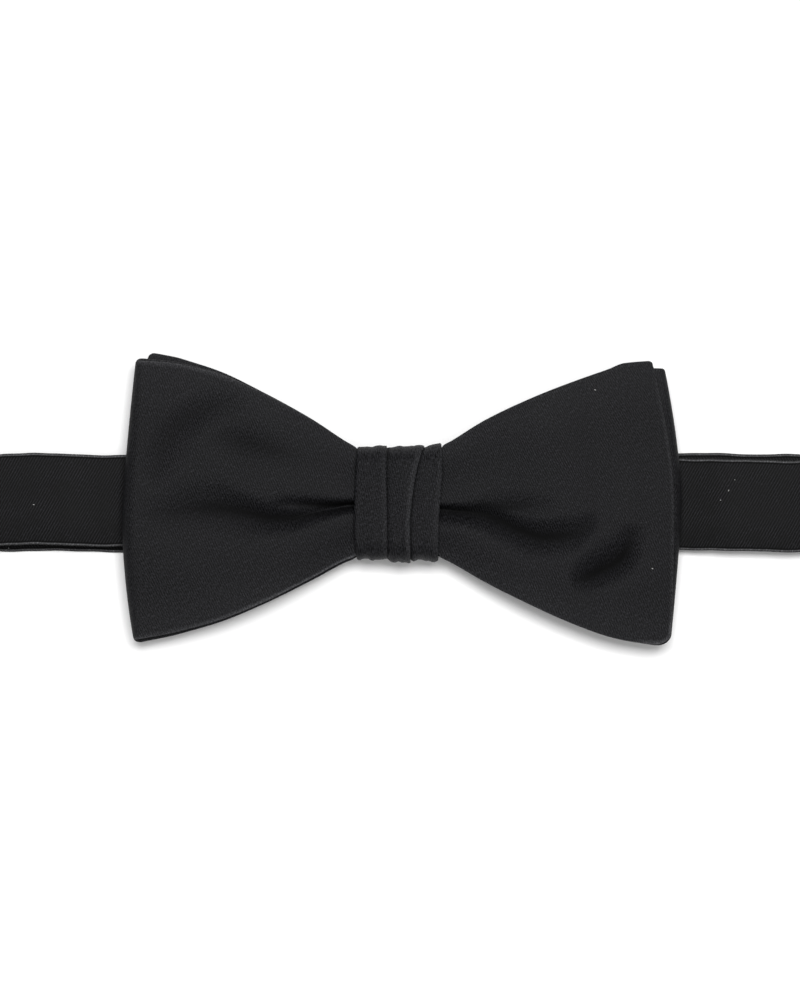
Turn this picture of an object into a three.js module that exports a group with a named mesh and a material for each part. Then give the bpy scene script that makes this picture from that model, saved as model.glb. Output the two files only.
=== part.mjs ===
// Pre-tied bow tie in black satin, lying face up on its own neckband.
// Millimetres, +Z up. +X runs to the right wing, +Y to the upper edges of the wings.
// The origin is on the surface that the tie lies on, under the middle of the whole.
//
// Two strips of cloth cross in the knot. The front strip makes the left loop and ends in the
// flat right wing in front; the back strip makes the right loop and ends flat behind the left
// wing. A pleated wrap holds them on the neckband, a closed loop laid flat behind the bow.

import * as THREE from 'three';

// Driving sizes
const cloth = 1.0;
const clearance = 0.3;
const slack = 0.1;
const plyStep = cloth + clearance;
// Steps between layers where the knot bends them, and where the dents of two layers lie over each other
const pinchedStep = 1.55;
const dentedStep = 1.65;
const loopHeight = 6.4;
const knot = { x: -0.9, y: -0.9, reach: 9.6 };
const pinchEnd = 34;
const bandWidth = 20;
const bandReach = 98;
const bandOpens = { from: 58, to: 74 };
const turnsFrom = 80;
const neckOpening = 4.6;
const clasp = { x: 37, length: 16, width: 25, bar: 2, thickness: 0.8, play: 0.25, corner: 2 };
const claspSlots = [{ side: -1, width: 21.8 }, { side: 1, width: 21.2 }];
const barToFold = 0.5;

// Levels of the cloth's middle, counted up from the surface
const rearStrandLevel = cloth / 2;
const wrapBackInside = cloth + clearance + cloth;
const claspPocket = clasp.thickness + 2 * clasp.play;
const strand = {
  knot: wrapBackInside + clearance + cloth / 2,
  wing: cloth + claspPocket + cloth + clearance + cloth / 2 + slack,
  end: cloth + neckOpening + cloth / 2,
};
const firstPly = strand.knot + plyStep;
const lowestWing = strand.wing + plyStep + slack;

// Each leaf is one layer of the bow. knot and wing are its levels in the valley of the knot and
// out on the wing, ridge is how far its two ridges stand above the valley in the knot, and lift
// and spread move its edges up and apart at the wing's outer end.
const leaves = {
  backLoopRear: { knot: firstPly, wing: lowestWing, ridge: 0.6, lift: -0.75, spread: -0.9 },
  backLoopFront: {
    knot: firstPly + pinchedStep, wing: lowestWing + loopHeight, ridge: 1.3, lift: -0.75, spread: -1.0,
  },
  backFlat: { knot: firstPly + pinchedStep, wing: lowestWing, ridge: 1.3, lift: 1.5, spread: 0.45 },
  frontLoopRear: {
    knot: firstPly + 2 * pinchedStep, wing: lowestWing + plyStep, ridge: 2.1, lift: 0.1, spread: 0.5,
  },
  frontLoopFront: {
    knot: firstPly + 3 * pinchedStep, wing: lowestWing + plyStep + loopHeight, ridge: 3.1, lift: 0, spread: 0,
  },
  frontFlat: {
    knot: firstPly + 3 * pinchedStep,
    wing: lowestWing + loopHeight + dentedStep,
    ridge: 3.1,
    lift: 0,
    spread: 0,
  },
};

// Upper and lower edges of the bow, by the distance out from the middle of the knot
const outline = [
  { out: 0.0, leftTop: 9.6, leftBottom: -11.3, rightTop: 9.6, rightBottom: -11.3 },
  { out: 9.7, leftTop: 9.6, leftBottom: -11.3, rightTop: 9.6, rightBottom: -11.3 },
  { out: 11.5, leftTop: 12.7, leftBottom: -13.5, rightTop: 12.7, rightBottom: -13.7 },
  { out: 19.0, leftTop: 17.6, leftBottom: -17.65, rightTop: 17.4, rightBottom: -18.05 },
  { out: 29.0, leftTop: 22.9, leftBottom: -22.6, rightTop: 22.1, rightBottom: -23.05 },
  { out: 39.0, leftTop: 27.3, leftBottom: -26.65, rightTop: 26.0, rightBottom: -27.45 },
  { out: 49.0, leftTop: 29.7, leftBottom: -29.4, rightTop: 29.65, rightBottom: -30.6 },
  { out: 57.0, leftTop: 30.3, leftBottom: -30.9, rightTop: 30.3, rightBottom: -31.9 },
];
const outerEnd = 57;

// Outer ends of the leaves: x at mid height and at the two corners, and the power of the bow between
const leftFold = { middle: -60.9, top: -58.0, bottom: -58.5, topBow: 1.25, bottomBow: 1.9 };
const rightFold = { middle: 60.8, top: 57.2, bottom: 58.3, topBow: 1.6, bottomBow: 1.25 };
const leftFlatEnd = { middle: -58.6, top: -54.8, bottom: -57.0, topBow: 1.6, bottomBow: 1.6 };
const rightFlatEnd = { middle: 58.9, top: 54.4, bottom: 57.3, topBow: 1.6, bottomBow: 1.6 };

// Half heights of the folds, full where the band holds them open and pressed at the corners,
// where the leaves close up over the last stretch
const foldHalfHeight = { middle: loopHeight / 2, corner: 1.6 };
const foldReach = { middle: 2.6, corner: 1.6 };
const pressedFrom = 46;
const pressedTo = 57;

// How far the wings' edges hang, at a distance past the band
const droop = { depth: 0.4, distance: 20 };

// Valley and ridges that the knot pinches into the cloth: half sizes at the knot, and how much wider
// they get for each millimetre out; the ridges fall by edgeFall, from edgeFrom of their half height on
const valley = { halfWidth: 3.2, widening: 0.15 };
const ridges = { halfHeight: 11, widening: 0.55, edgeFall: 0.9, edgeFrom: 0.6 };

// Dents in the visible faces, a row for each point along the dent
const dents = [
  [
    { x: -12, y: -0.9, depth: 2.2, width: 2.0 },
    { x: -19, y: -2.3, depth: 2.0, width: 2.6 },
    { x: -26, y: -3.8, depth: 1.5, width: 3.2 },
    { x: -33, y: -3.0, depth: 0.9, width: 4.0 },
    { x: -41, y: 0.4, depth: 0.5, width: 4.5 },
    { x: -49, y: 0.0, depth: 0.0, width: 4.5 },
  ],
  [
    { x: -54, y: 7.5, depth: 0.0, width: 3.0 },
    { x: -50, y: 16.0, depth: 0.5, width: 3.0 },
    { x: -44, y: 20.3, depth: 0.4, width: 3.5 },
    { x: -36, y: 20.9, depth: 0.0, width: 3.5 },
  ],
  [
    { x: 10, y: -1.6, depth: 2.2, width: 2.0 },
    { x: 18, y: -3.0, depth: 2.0, width: 2.4 },
    { x: 25, y: -6.6, depth: 1.8, width: 2.8 },
    { x: 33, y: -9.2, depth: 1.4, width: 3.2 },
    { x: 41, y: -5.2, depth: 0.0, width: 4.0 },
  ],
  [
    { x: 36, y: -18.8, depth: 0.0, width: 2.6 },
    { x: 43, y: -15.4, depth: 0.7, width: 2.8 },
    { x: 48, y: -12.2, depth: 0.7, width: 2.8 },
    { x: 50.5, y: -6.0, depth: 0.0, width: 3.0 },
  ],
];

// Edges and pleats of the knot's wrap seen from the front, a row for each height
const wrapLines = [
  { y: -13.5, left: -9.8, firstFold: -3.2, secondFold: 1.8, right: 7.8 },
  { y: -5.6, left: -10.5, firstFold: -3.2, secondFold: 1.7, right: 7.9 },
  { y: 0.6, left: -10.4, firstFold: -3.3, secondFold: 2.25, right: 8.3 },
  { y: 6.8, left: -10.1, firstFold: -3.4, secondFold: 3.3, right: 8.7 },
  { y: 12, left: -9.7, firstFold: -3.3, secondFold: 5.6, right: 8.4 },
];

// One pleat from its tucked side to its rolled fold, and how far it stands up on the way
const pleatProfile = [
  { across: 0.0, rise: 0.1 },
  { across: 0.35, rise: 0.45 },
  { across: 0.75, rise: 0.95 },
  { across: 0.95, rise: 1.1 },
];
const pleatSideRise = 0.45;
const lastPleatRise = 0.45;
const wrapEdgeRise = 0.1;

// Inside of the wrap, seen along X
const wrapInside = { top: 10.4, bottom: -12.1, low: wrapBackInside, backCorner: 1.2, frontCorner: 3.0 };
wrapInside.high = leaves.frontFlat.knot + leaves.frontFlat.ridge + cloth / 2 + clearance + slack;

// The two strands of the neckband don't lie exactly on each other
const bandLines = [
  { x: -95, front: -0.6, rear: -0.6 },
  { x: -86, front: 0.05, rear: -1.35 },
  { x: -74, front: 0.0, rear: -1.25 },
  { x: -63, front: -0.25, rear: -1.6 },
  { x: 0, front: -0.7, rear: -0.7 },
  { x: 62, front: -1.0, rear: 0.15 },
  { x: 74, front: -1.3, rear: 0.1 },
  { x: 86, front: -1.5, rear: 0.0 },
  { x: 95, front: -0.8, rear: -0.8 },
];

// The band's ends fold back over the bars of the clasp: distance from the bar, and level
const tailFoldRadius = (claspPocket + cloth) / 2;
const tail = [
  { back: 18, level: rearStrandLevel + plyStep },
  { back: 10, level: rearStrandLevel + plyStep },
  { back: 6, level: rearStrandLevel + plyStep + 0.4 },
  { back: 2.6, level: rearStrandLevel + 2 * tailFoldRadius },
];

// Where the rows of the straight strands start, measured from the turns
const rearRowsFrom = 12;
const frontRowsFrom = 8;

// Shares of a wing's length where a strip has rows of points; the second list is for the rear leaf
const wingShares = [0.19, 0.22, 0.26, 0.31, 0.37, 0.43, 0.5, 0.57, 0.64, 0.71, 0.78, 0.85, 0.91, 0.96, 1];
const rearShares = wingShares.filter((share, index) => index % 2 === 0);
const sewnEnd = -0.15;
const knotMiddle = 0.08;
const knotMouth = 0.162;
const columnCrowding = 1.15;

const black = 0x161617;

// Values on a line, a smooth step and a smooth curve through a table

function mix(from, to, share) {
  return from + (to - from) * share;
}

function smoothStep(from, to, at) {
  const share = Math.min(Math.max((at - from) / (to - from), 0), 1);
  return share * share * (3 - 2 * share);
}

// Value of a table's column at a key, on a cubic that never swings past its rows
function along(table, key, column, at) {
  const last = table.length - 1;
  if (at <= table[0][key]) return table[0][column];
  if (at >= table[last][key]) return table[last][column];
  const slope = (row) => {
    const next = table[row + 1];
    return (next[column] - table[row][column]) / (next[key] - table[row][key]);
  };
  const tangent = (row) => {
    if (row === 0) return slope(0);
    if (row === last) return slope(last - 1);
    const before = slope(row - 1);
    const after = slope(row);
    return before * after <= 0 ? 0 : (2 * before * after) / (before + after);
  };
  let row = 0;
  while (at > table[row + 1][key]) row += 1;
  const span = table[row + 1][key] - table[row][key];
  const t = (at - table[row][key]) / span;
  const rising = t * t * (3 - 2 * t);
  return mix(table[row][column], table[row + 1][column], rising)
    + span * t * (1 - t) * ((1 - t) * tangent(row) - t * tangent(row + 1));
}

// Evenly spaced values, both ends included
function steps(from, to, count) {
  return Array.from({ length: count + 1 }, (_, index) => mix(from, to, index / count));
}

// Shape of the bow

// 1 in the knot, falling to 0 where the pinched folds have run out
function pinch(x) {
  return 1 - smoothStep(knot.reach, pinchEnd, Math.abs(x - knot.x));
}

// Two ridges with a narrow valley between them, 1 on the ridges and low at the outer edges
function pinchedSection(x, y) {
  const out = Math.max(Math.abs(x - knot.x) - knot.reach, 0);
  const valleyHalfWidth = valley.halfWidth + valley.widening * out;
  const halfHeight = ridges.halfHeight + ridges.widening * out;
  const distance = Math.abs(y - knot.y);
  const rise = Math.sin((Math.PI / 2) * Math.min(distance / valleyHalfWidth, 1)) ** 2;
  return rise * (1 - ridges.edgeFall * smoothStep(ridges.edgeFrom, 1, distance / halfHeight));
}

// Depth of the dents at a point of the visible face
function dentDepth(x, y) {
  let depth = 0;
  for (const rows of dents) {
    let nearest = { distance: Infinity, depth: 0, width: 1 };
    for (let row = 0; row + 1 < rows.length; row += 1) {
      const a = rows[row];
      const b = rows[row + 1];
      const run = { x: b.x - a.x, y: b.y - a.y };
      const share = ((x - a.x) * run.x + (y - a.y) * run.y) / (run.x ** 2 + run.y ** 2);
      const t = Math.min(Math.max(share, 0), 1);
      const distance = Math.hypot(x - a.x - run.x * t, y - a.y - run.y * t);
      if (distance < nearest.distance) {
        nearest = { distance, depth: mix(a.depth, b.depth, t), width: mix(a.width, b.width, t) };
      }
    }
    depth += nearest.depth * Math.exp(-((nearest.distance / nearest.width) ** 2));
  }
  return depth;
}

// A leaf's upper and lower edges at a distance out from the knot
function leafEdges(leaf, x) {
  const side = x < knot.x ? 'left' : 'right';
  const out = Math.abs(x - knot.x);
  const outward = Math.min(out / outerEnd, 1) ** 3;
  return {
    top: along(outline, 'out', `${side}Top`, out) + (leaf.lift + leaf.spread) * outward,
    bottom: along(outline, 'out', `${side}Bottom`, out) + (leaf.lift - leaf.spread) * outward,
  };
}

// A point's share of the way from the valley to the upper edge (to 1) or the lower edge (to -1)
function heightOnLeaf(edges, across) {
  return across > 0 ? mix(knot.y, edges.top, across) : mix(knot.y, edges.bottom, -across);
}

// Where a leaf ends: fullest at mid height, shorter towards the corners
function endAt(end, across) {
  const isUp = across > 0;
  const bow = Math.abs(across) ** (isUp ? end.topBow : end.bottomBow);
  return mix(end.middle, isUp ? end.top : end.bottom, bow);
}

function foldSize(across) {
  const pressed = Math.abs(across) ** 2;
  return {
    halfHeight: mix(foldHalfHeight.middle, foldHalfHeight.corner, pressed),
    reach: mix(foldReach.middle, foldReach.corner, pressed),
  };
}

// Level of a leaf's middle at a point of the bow seen from above
function leafLevel(leaf, x, y, across) {
  const held = pinch(x);
  let level = mix(leaf.wing, leaf.knot, held) + leaf.ridge * held * pinchedSection(x, y);
  level -= droop.depth * Math.max((Math.abs(y) - bandWidth / 2) / droop.distance, 0) ** 2;
  const isOverLoop = leaf.wing > lowestWing + loopHeight / 2;
  if (isOverLoop) {
    const pressed = smoothStep(pressedFrom, pressedTo, Math.abs(x - knot.x));
    level -= pressed * (loopHeight - 2 * foldSize(across).halfHeight);
    level -= (1 - held) * dentDepth(x, y);
  }
  return level;
}

function leafPoint(leaf, x, across) {
  const y = heightOnLeaf(leafEdges(leaf, x), across);
  return new THREE.Vector3(x, y, leafLevel(leaf, x, y, across));
}

// One row of points on a fold, turned from the rear leaf (0) to the front leaf (half a turn)
function foldPoint(rearLeaf, frontLeaf, fold, across, angle) {
  const side = Math.sign(fold.middle);
  const size = foldSize(across);
  const joint = endAt(fold, across) - side * (cloth / 2 + size.reach);
  const rear = leafPoint(rearLeaf, joint, across);
  const front = leafPoint(frontLeaf, joint, across);
  const turned = (1 - Math.cos(angle)) / 2;
  return new THREE.Vector3(
    joint + side * size.reach * Math.sin(angle),
    mix(rear.y, front.y, turned),
    mix(rear.z, front.z, turned),
  );
}

// Points across a strip, closer together at the valley
const acrossStrip = steps(-1, 1, 18).map((share) => Math.sign(share) * Math.abs(share) ** columnCrowding);

// Rows of one leaf between two shares of its length, counted from the middle of the knot
function leafRows(leaf, shares, endOf) {
  return shares.map((share) => acrossStrip.map((across) => {
    const x = mix(knot.x, endOf(across), share);
    return leafPoint(leaf, x, across);
  }));
}

// Strip that comes from its sewn end in the knot, folds back over itself and ends flat
function stripRows(rearLeaf, frontLeaf, flatLeaf, fold, flatEnd) {
  const side = Math.sign(fold.middle);
  const foldJoint = (across) => endAt(fold, across) - side * (cloth / 2 + foldSize(across).reach);
  const rear = leafRows(rearLeaf, [sewnEnd, 0, knotMouth, ...rearShares], foldJoint);
  const turned = steps(0, Math.PI, 7).slice(1, -1);
  const folded = turned.map((angle) => acrossStrip.map(
    (across) => foldPoint(rearLeaf, frontLeaf, fold, across, angle),
  ));
  const front = leafRows(frontLeaf, [knotMiddle, knotMouth, ...wingShares].reverse(), foldJoint);
  const flat = leafRows(
    flatLeaf,
    [0, knotMiddle, knotMouth, ...wingShares],
    (across) => endAt(flatEnd, across),
  );
  return [...rear, ...folded, ...front, ...flat];
}

// Walls of cloth

// Closed geometry from vertices and four-sided faces
function closedGeometry(points, quads) {
  const geometry = new THREE.BufferGeometry();
  const coordinates = points.flatMap(({ x, y, z }) => [x, y, z]);
  geometry.setAttribute('position', new THREE.Float32BufferAttribute(coordinates, 3));
  geometry.setIndex(quads.flatMap(([a, b, c, d]) => [a, b, c, a, c, d]));
  geometry.computeVertexNormals();
  return geometry;
}

// Open sheet of cloth with its full thickness, from the rows of points in its middle
function clothSheet(rows) {
  const rowCount = rows.length;
  const columnCount = rows[0].length;
  const faceUp = [];
  const faceDown = [];
  for (let i = 0; i < rowCount; i += 1) {
    for (let j = 0; j < columnCount; j += 1) {
      const nextInRow = rows[i][Math.min(j + 1, columnCount - 1)];
      const nextRow = rows[Math.min(i + 1, rowCount - 1)];
      const alongRow = nextInRow.clone().sub(rows[i][Math.max(j - 1, 0)]);
      const alongStrip = nextRow[j].clone().sub(rows[Math.max(i - 1, 0)][j]);
      const normal = alongStrip.cross(alongRow).normalize().multiplyScalar(cloth / 2);
      faceUp.push(rows[i][j].clone().add(normal));
      faceDown.push(rows[i][j].clone().sub(normal));
    }
  }
  const under = faceUp.length;
  const at = (i, j) => i * columnCount + j;
  const quads = [];
  for (let i = 0; i + 1 < rowCount; i += 1) {
    for (let j = 0; j + 1 < columnCount; j += 1) {
      const corners = [at(i, j), at(i + 1, j), at(i + 1, j + 1), at(i, j + 1)];
      quads.push(corners);
      quads.push(corners.map((corner) => corner + under).reverse());
    }
    const [first, last] = [0, columnCount - 1];
    quads.push([at(i, first), at(i, first) + under, at(i + 1, first) + under, at(i + 1, first)]);
    quads.push([at(i + 1, last), at(i + 1, last) + under, at(i, last) + under, at(i, last)]);
  }
  for (let j = 0; j + 1 < columnCount; j += 1) {
    const last = rowCount - 1;
    quads.push([at(0, j + 1), at(0, j + 1) + under, at(0, j) + under, at(0, j)]);
    quads.push([at(last, j), at(last, j) + under, at(last, j + 1) + under, at(last, j + 1)]);
  }
  return closedGeometry([...faceUp, ...faceDown], quads);
}

// Closed tube of cloth from matching rings of inner and outer points
function clothTube(innerRings, outerRings) {
  const ringCount = innerRings.length;
  const pointCount = innerRings[0].length;
  const points = [...outerRings.flat(), ...innerRings.flat()];
  const inside = ringCount * pointCount;
  const at = (ring, point) => ring * pointCount + (point % pointCount);
  const quads = [];
  for (let point = 0; point < pointCount; point += 1) {
    for (let ring = 0; ring + 1 < ringCount; ring += 1) {
      const [near, far] = [ring, ring + 1];
      const corners = [at(near, point), at(near, point + 1), at(far, point + 1), at(far, point)];
      quads.push(corners);
      quads.push(corners.map((corner) => corner + inside).reverse());
    }
    const [here, next] = [at(ringCount - 1, point), at(ringCount - 1, point + 1)];
    quads.push([at(0, point), at(0, point) + inside, at(0, point + 1) + inside, at(0, point + 1)]);
    quads.push([next, next + inside, here + inside, here]);
  }
  return closedGeometry(points, quads);
}

// Wrap of the knot

// The wrap's inside seen along X, anticlockwise from the middle of its back, with outward normals
function wrapSection() {
  const { top, bottom, low, high, backCorner, frontCorner } = wrapInside;
  const corners = [
    { y: top - backCorner, z: low + backCorner, radius: backCorner, from: -90, parts: 3 },
    { y: top - frontCorner, z: high - frontCorner, radius: frontCorner, from: 0, parts: 6 },
    { y: bottom + frontCorner, z: high - frontCorner, radius: frontCorner, from: 90, parts: 6 },
    { y: bottom + backCorner, z: low + backCorner, radius: backCorner, from: 180, parts: 3 },
  ];
  const arc = ({ y, z, radius, from, parts }) => steps(from, from + 90, parts).map((degrees) => {
    const angle = THREE.MathUtils.degToRad(degrees);
    const normal = { y: Math.cos(angle), z: Math.sin(angle) };
    return { y: y + radius * normal.y, z: z + radius * normal.z, normal };
  });
  const section = corners.flatMap(arc);
  const frontStart = corners[0].parts + 1 + corners[1].parts + 1;
  const frontRun = steps(top - frontCorner, bottom + frontCorner, 6).slice(1, -1);
  section.splice(frontStart, 0, ...frontRun.map((y) => ({ y, z: high, normal: { y: 0, z: 1 } })));
  return section;
}

// Rings across the wrap: three pleats, each rising to its fold and dropping to the next
function wrapRings() {
  const lines = ['left', 'firstFold', 'secondFold', 'right'];
  const rings = [];
  for (let pleat = 0; pleat < 3; pleat += 1) {
    const highest = pleat === 2 ? lastPleatRise : Infinity;
    for (const { across, rise } of pleatProfile) {
      rings.push({ from: lines[pleat], to: lines[pleat + 1], across, rise: Math.min(rise, highest) });
    }
  }
  rings.push({ from: 'secondFold', to: 'right', across: 1, rise: wrapEdgeRise });
  return rings;
}

function knotWrap() {
  const section = wrapSection();
  const inner = [];
  const outer = [];
  for (const ring of wrapRings()) {
    const xAt = (y) => {
      const [from, to] = [ring.from, ring.to].map((line) => along(wrapLines, 'y', line, y));
      return mix(from, to, ring.across);
    };
    inner.push(section.map(({ y, z }) => new THREE.Vector3(xAt(y), y, z)));
    outer.push(section.map(({ y, z, normal }) => {
      const facing = mix(pleatSideRise, 1, Math.max(normal.z, 0));
      const shown = smoothStep(wrapInside.low + 1, wrapInside.low + 5, z);
      const thickness = cloth + ring.rise * facing * shown;
      return new THREE.Vector3(xAt(y), y + thickness * normal.y, z + thickness * normal.z);
    }));
  }
  return clothTube(inner, outer);
}

// Neckband and its clasp

// Middle line of the band seen from the front edge: x, level and the strand it belongs to
function bandPath() {
  const endRadius = (strand.end - rearStrandLevel) / 2;
  const endX = bandReach - cloth / 2 - endRadius;
  const strandLevel = (x) => {
    const opened = smoothStep(bandOpens.from, bandOpens.to, Math.abs(x));
    return mix(mix(strand.wing, strand.knot, pinch(x)), strand.end, opened);
  };
  const path = [];
  const addTurn = (x, z, radius, from, to, parts) => {
    for (const angle of steps(from, to, parts)) {
      path.push({ x: x + radius * Math.cos(angle), z: z + radius * Math.sin(angle) });
    }
  };
  const addLevelRun = (from, to, parts) => {
    for (const x of steps(from, to, parts)) path.push({ x, z: rearStrandLevel });
  };
  const barReach = clasp.length / 2 - clasp.bar - barToFold;
  const leftBar = clasp.x - barReach;
  const rightBar = clasp.x + barReach;
  const tailFoldLevel = rearStrandLevel + tailFoldRadius;
  const halfway = rearStrandLevel + endRadius;
  for (const { back, level } of tail) path.push({ x: leftBar - back, z: level });
  addTurn(leftBar, tailFoldLevel, tailFoldRadius, Math.PI / 2, -Math.PI / 2, 6);
  addLevelRun(leftBar - rearRowsFrom, -endX + rearRowsFrom, 6);
  addTurn(-endX, halfway, endRadius, -Math.PI / 2, -1.5 * Math.PI, 8);
  for (const x of steps(-endX + frontRowsFrom, endX - frontRowsFrom, 34)) path.push({ x, z: strandLevel(x) });
  addTurn(endX, halfway, endRadius, Math.PI / 2, -Math.PI / 2, 8);
  addLevelRun(endX - rearRowsFrom, rightBar + rearRowsFrom, 3);
  addTurn(rightBar, tailFoldLevel, tailFoldRadius, 1.5 * Math.PI, Math.PI / 2, 6);
  for (const { back, level } of [...tail].reverse()) path.push({ x: rightBar + back, z: level });
  return path.map(({ x, z }) => {
    const isTurning = Math.abs(x) > turnsFrom;
    const share = isTurning ? smoothStep(rearStrandLevel, strand.end, z) : Number(z > strand.knot - slack);
    const y = mix(along(bandLines, 'x', 'rear', x), along(bandLines, 'x', 'front', x), share);
    return new THREE.Vector3(x, y, z);
  });
}

function neckband() {
  const acrossBand = steps(-bandWidth / 2, bandWidth / 2, 2);
  const rows = bandPath().map((middle) => acrossBand.map(
    (across) => new THREE.Vector3(middle.x, middle.y + across, middle.z),
  ));
  return clothSheet(rows);
}

// Flat slide with a slot for each end of the band
function neckClasp() {
  const { length, width, bar, thickness, corner } = clasp;
  const quarters = [
    { x: 1, y: 1, from: 0 },
    { x: -1, y: 1, from: 90 },
    { x: -1, y: -1, from: 180 },
    { x: 1, y: -1, from: 270 },
  ];
  const rim = quarters.flatMap(({ x, y, from }) => steps(from, from + 90, 5).map((degrees) => {
    const angle = THREE.MathUtils.degToRad(degrees);
    return new THREE.Vector2(
      x * (length / 2 - corner) + corner * Math.cos(angle),
      y * (width / 2 - corner) + corner * Math.sin(angle),
    );
  }));
  const plate = new THREE.Shape(rim);
  for (const slot of claspSlots) {
    const near = (slot.side * bar) / 2;
    const far = slot.side * (length / 2 - bar);
    plate.holes.push(new THREE.Path([
      new THREE.Vector2(near, -slot.width / 2),
      new THREE.Vector2(far, -slot.width / 2),
      new THREE.Vector2(far, slot.width / 2),
      new THREE.Vector2(near, slot.width / 2),
    ]));
  }
  return new THREE.ExtrudeGeometry(plate, { depth: thickness, bevelEnabled: false });
}

// The assembly

function satin() {
  return new THREE.MeshStandardMaterial({
    color: black,
    roughness: 0.55,
    metalness: 0,
    side: THREE.DoubleSide,
  });
}

function addPiece(group, name, geometry, material) {
  const mesh = new THREE.Mesh(geometry, material);
  mesh.name = name;
  group.add(mesh);
  return mesh;
}

const bowTie = new THREE.Group();
addPiece(bowTie, 'front_bow', clothSheet(
  stripRows(leaves.frontLoopRear, leaves.frontLoopFront, leaves.frontFlat, leftFold, rightFlatEnd),
), satin());
addPiece(bowTie, 'back_bow', clothSheet(
  stripRows(leaves.backLoopRear, leaves.backLoopFront, leaves.backFlat, rightFold, leftFlatEnd),
), satin());
addPiece(bowTie, 'knot_wrap', knotWrap(), satin());
addPiece(bowTie, 'neckband', neckband(), satin());
const steel = new THREE.MeshStandardMaterial({ color: 0x8a8c90, roughness: 0.3, metalness: 1 });
const slide = addPiece(bowTie, 'neck_clasp', neckClasp(), steel);
const claspY = along(bandLines, 'x', 'rear', clasp.x);
slide.position.set(clasp.x, claspY, cloth + clasp.play);

export default bowTie;
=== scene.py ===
# %% [markdown]
# # A pre-tied bow tie in black satin
#
# The tie lies face up on a white table and is seen from straight above. Five pieces make it: two
# folded strips of cloth, the pleated wrap that holds them, the neckband and the band's metal slide.
# The frame is loaded first. Its solids say where each piece is, and every mesh below takes the
# place of one of them, in the same coordinates.

# %% Load the frame
import math

import bmesh
import bpy
import numpy as np
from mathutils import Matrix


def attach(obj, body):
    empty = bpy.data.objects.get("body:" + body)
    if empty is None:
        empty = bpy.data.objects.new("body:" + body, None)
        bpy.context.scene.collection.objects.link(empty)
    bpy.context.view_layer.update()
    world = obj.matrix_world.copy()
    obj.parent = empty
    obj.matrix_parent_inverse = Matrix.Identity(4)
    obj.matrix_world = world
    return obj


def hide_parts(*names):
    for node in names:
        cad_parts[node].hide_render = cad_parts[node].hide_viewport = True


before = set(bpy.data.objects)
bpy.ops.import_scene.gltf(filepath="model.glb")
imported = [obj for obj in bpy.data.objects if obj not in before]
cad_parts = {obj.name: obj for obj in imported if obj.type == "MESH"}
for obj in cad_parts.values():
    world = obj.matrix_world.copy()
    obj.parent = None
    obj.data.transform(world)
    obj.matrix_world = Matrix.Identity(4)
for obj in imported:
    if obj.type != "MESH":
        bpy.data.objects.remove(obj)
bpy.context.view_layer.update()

MM = 0.001

# %% [markdown]
# ## Sizes
#
# Cloth is easiest to think of in millimetres, so the sizes are, and a mesh is scaled to metres at
# the very end. A bow is a stack of leaves: each strip goes out as a rear leaf, folds, comes back as
# a front leaf, passes the knot and ends flat. A leaf needs its level in the knot, its level out on
# the wing, and how high its two ridges stand beside the crease that the knot pinches.

# %% Sizes of the bow
CLOTH = 0.9
# From leaf to leaf: out on the wings, squeezed in the knot, and over a leaf that has dents
PLY_STEP = 1.3
PINCHED_STEP = 1.55
DENTED_STEP = PLY_STEP + 0.35
LOOP_HEIGHT = 6.4
# The knot's middle, how far it reaches on both sides, and where the squeeze has faded out
KNOT_X = -0.9
KNOT_REACH = 9.6
PINCH_END = 34.0
BAND_HALF_WIDTH = 10.0
FIRST_PLY = 4.4
LOWEST_WING = 5.6


def leaf(knot, wing, ridge, lift, spread, is_rear=False, drawn_in=0.0):
    """One layer of the bow: its levels, its ridge, and how its outer end is moved up and spread."""
    return dict(knot=knot, wing=wing, ridge=ridge, lift=lift, spread=spread, is_rear=is_rear,
                drawn_in=drawn_in)


SECOND_PLY = FIRST_PLY + PINCHED_STEP
THIRD_PLY = FIRST_PLY + 2 * PINCHED_STEP
TOP_PLY = FIRST_PLY + 3 * PINCHED_STEP
BACK_LOOP_REAR = leaf(FIRST_PLY, LOWEST_WING, 0.6, -0.75, -0.9, is_rear=True)
BACK_LOOP_FRONT = leaf(SECOND_PLY, LOWEST_WING + LOOP_HEIGHT, 1.3, -0.9, -0.85)
BACK_FLAT = leaf(SECOND_PLY, LOWEST_WING, 1.3, 1.7, 0.75)
FRONT_LOOP_REAR = leaf(THIRD_PLY, LOWEST_WING + PLY_STEP, 2.1, 0.1, 0.5, is_rear=True)
FRONT_LOOP_FRONT = leaf(TOP_PLY, LOWEST_WING + PLY_STEP + LOOP_HEIGHT, 3.1, 0.0, 0.0, drawn_in=0.4)
FRONT_FLAT = leaf(TOP_PLY, LOWEST_WING + LOOP_HEIGHT + DENTED_STEP, 3.1, 0.0, 0.0)
print("levels in the knot", [round(level, 2) for level in (FIRST_PLY, SECOND_PLY, THIRD_PLY, TOP_PLY)])

# %% [markdown]
# ## Curves through short tables
#
# An outline is written as a table with a row for each place where its bend changes. `along` draws a
# smooth curve through one column. It is a cubic whose slope at a row is the harmonic mean of the
# slopes on both sides, which is zero at a peak, so the curve never swings past its rows.

# %% Curves


def table(names, *rows):
    return np.rec.fromrecords(rows, names=names)


def mix(start, end, share):
    return start + (end - start) * share


def smooth_step(start, end, at):
    share = np.clip((at - start) / (end - start), 0, 1)
    return share * share * (3 - 2 * share)


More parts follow.
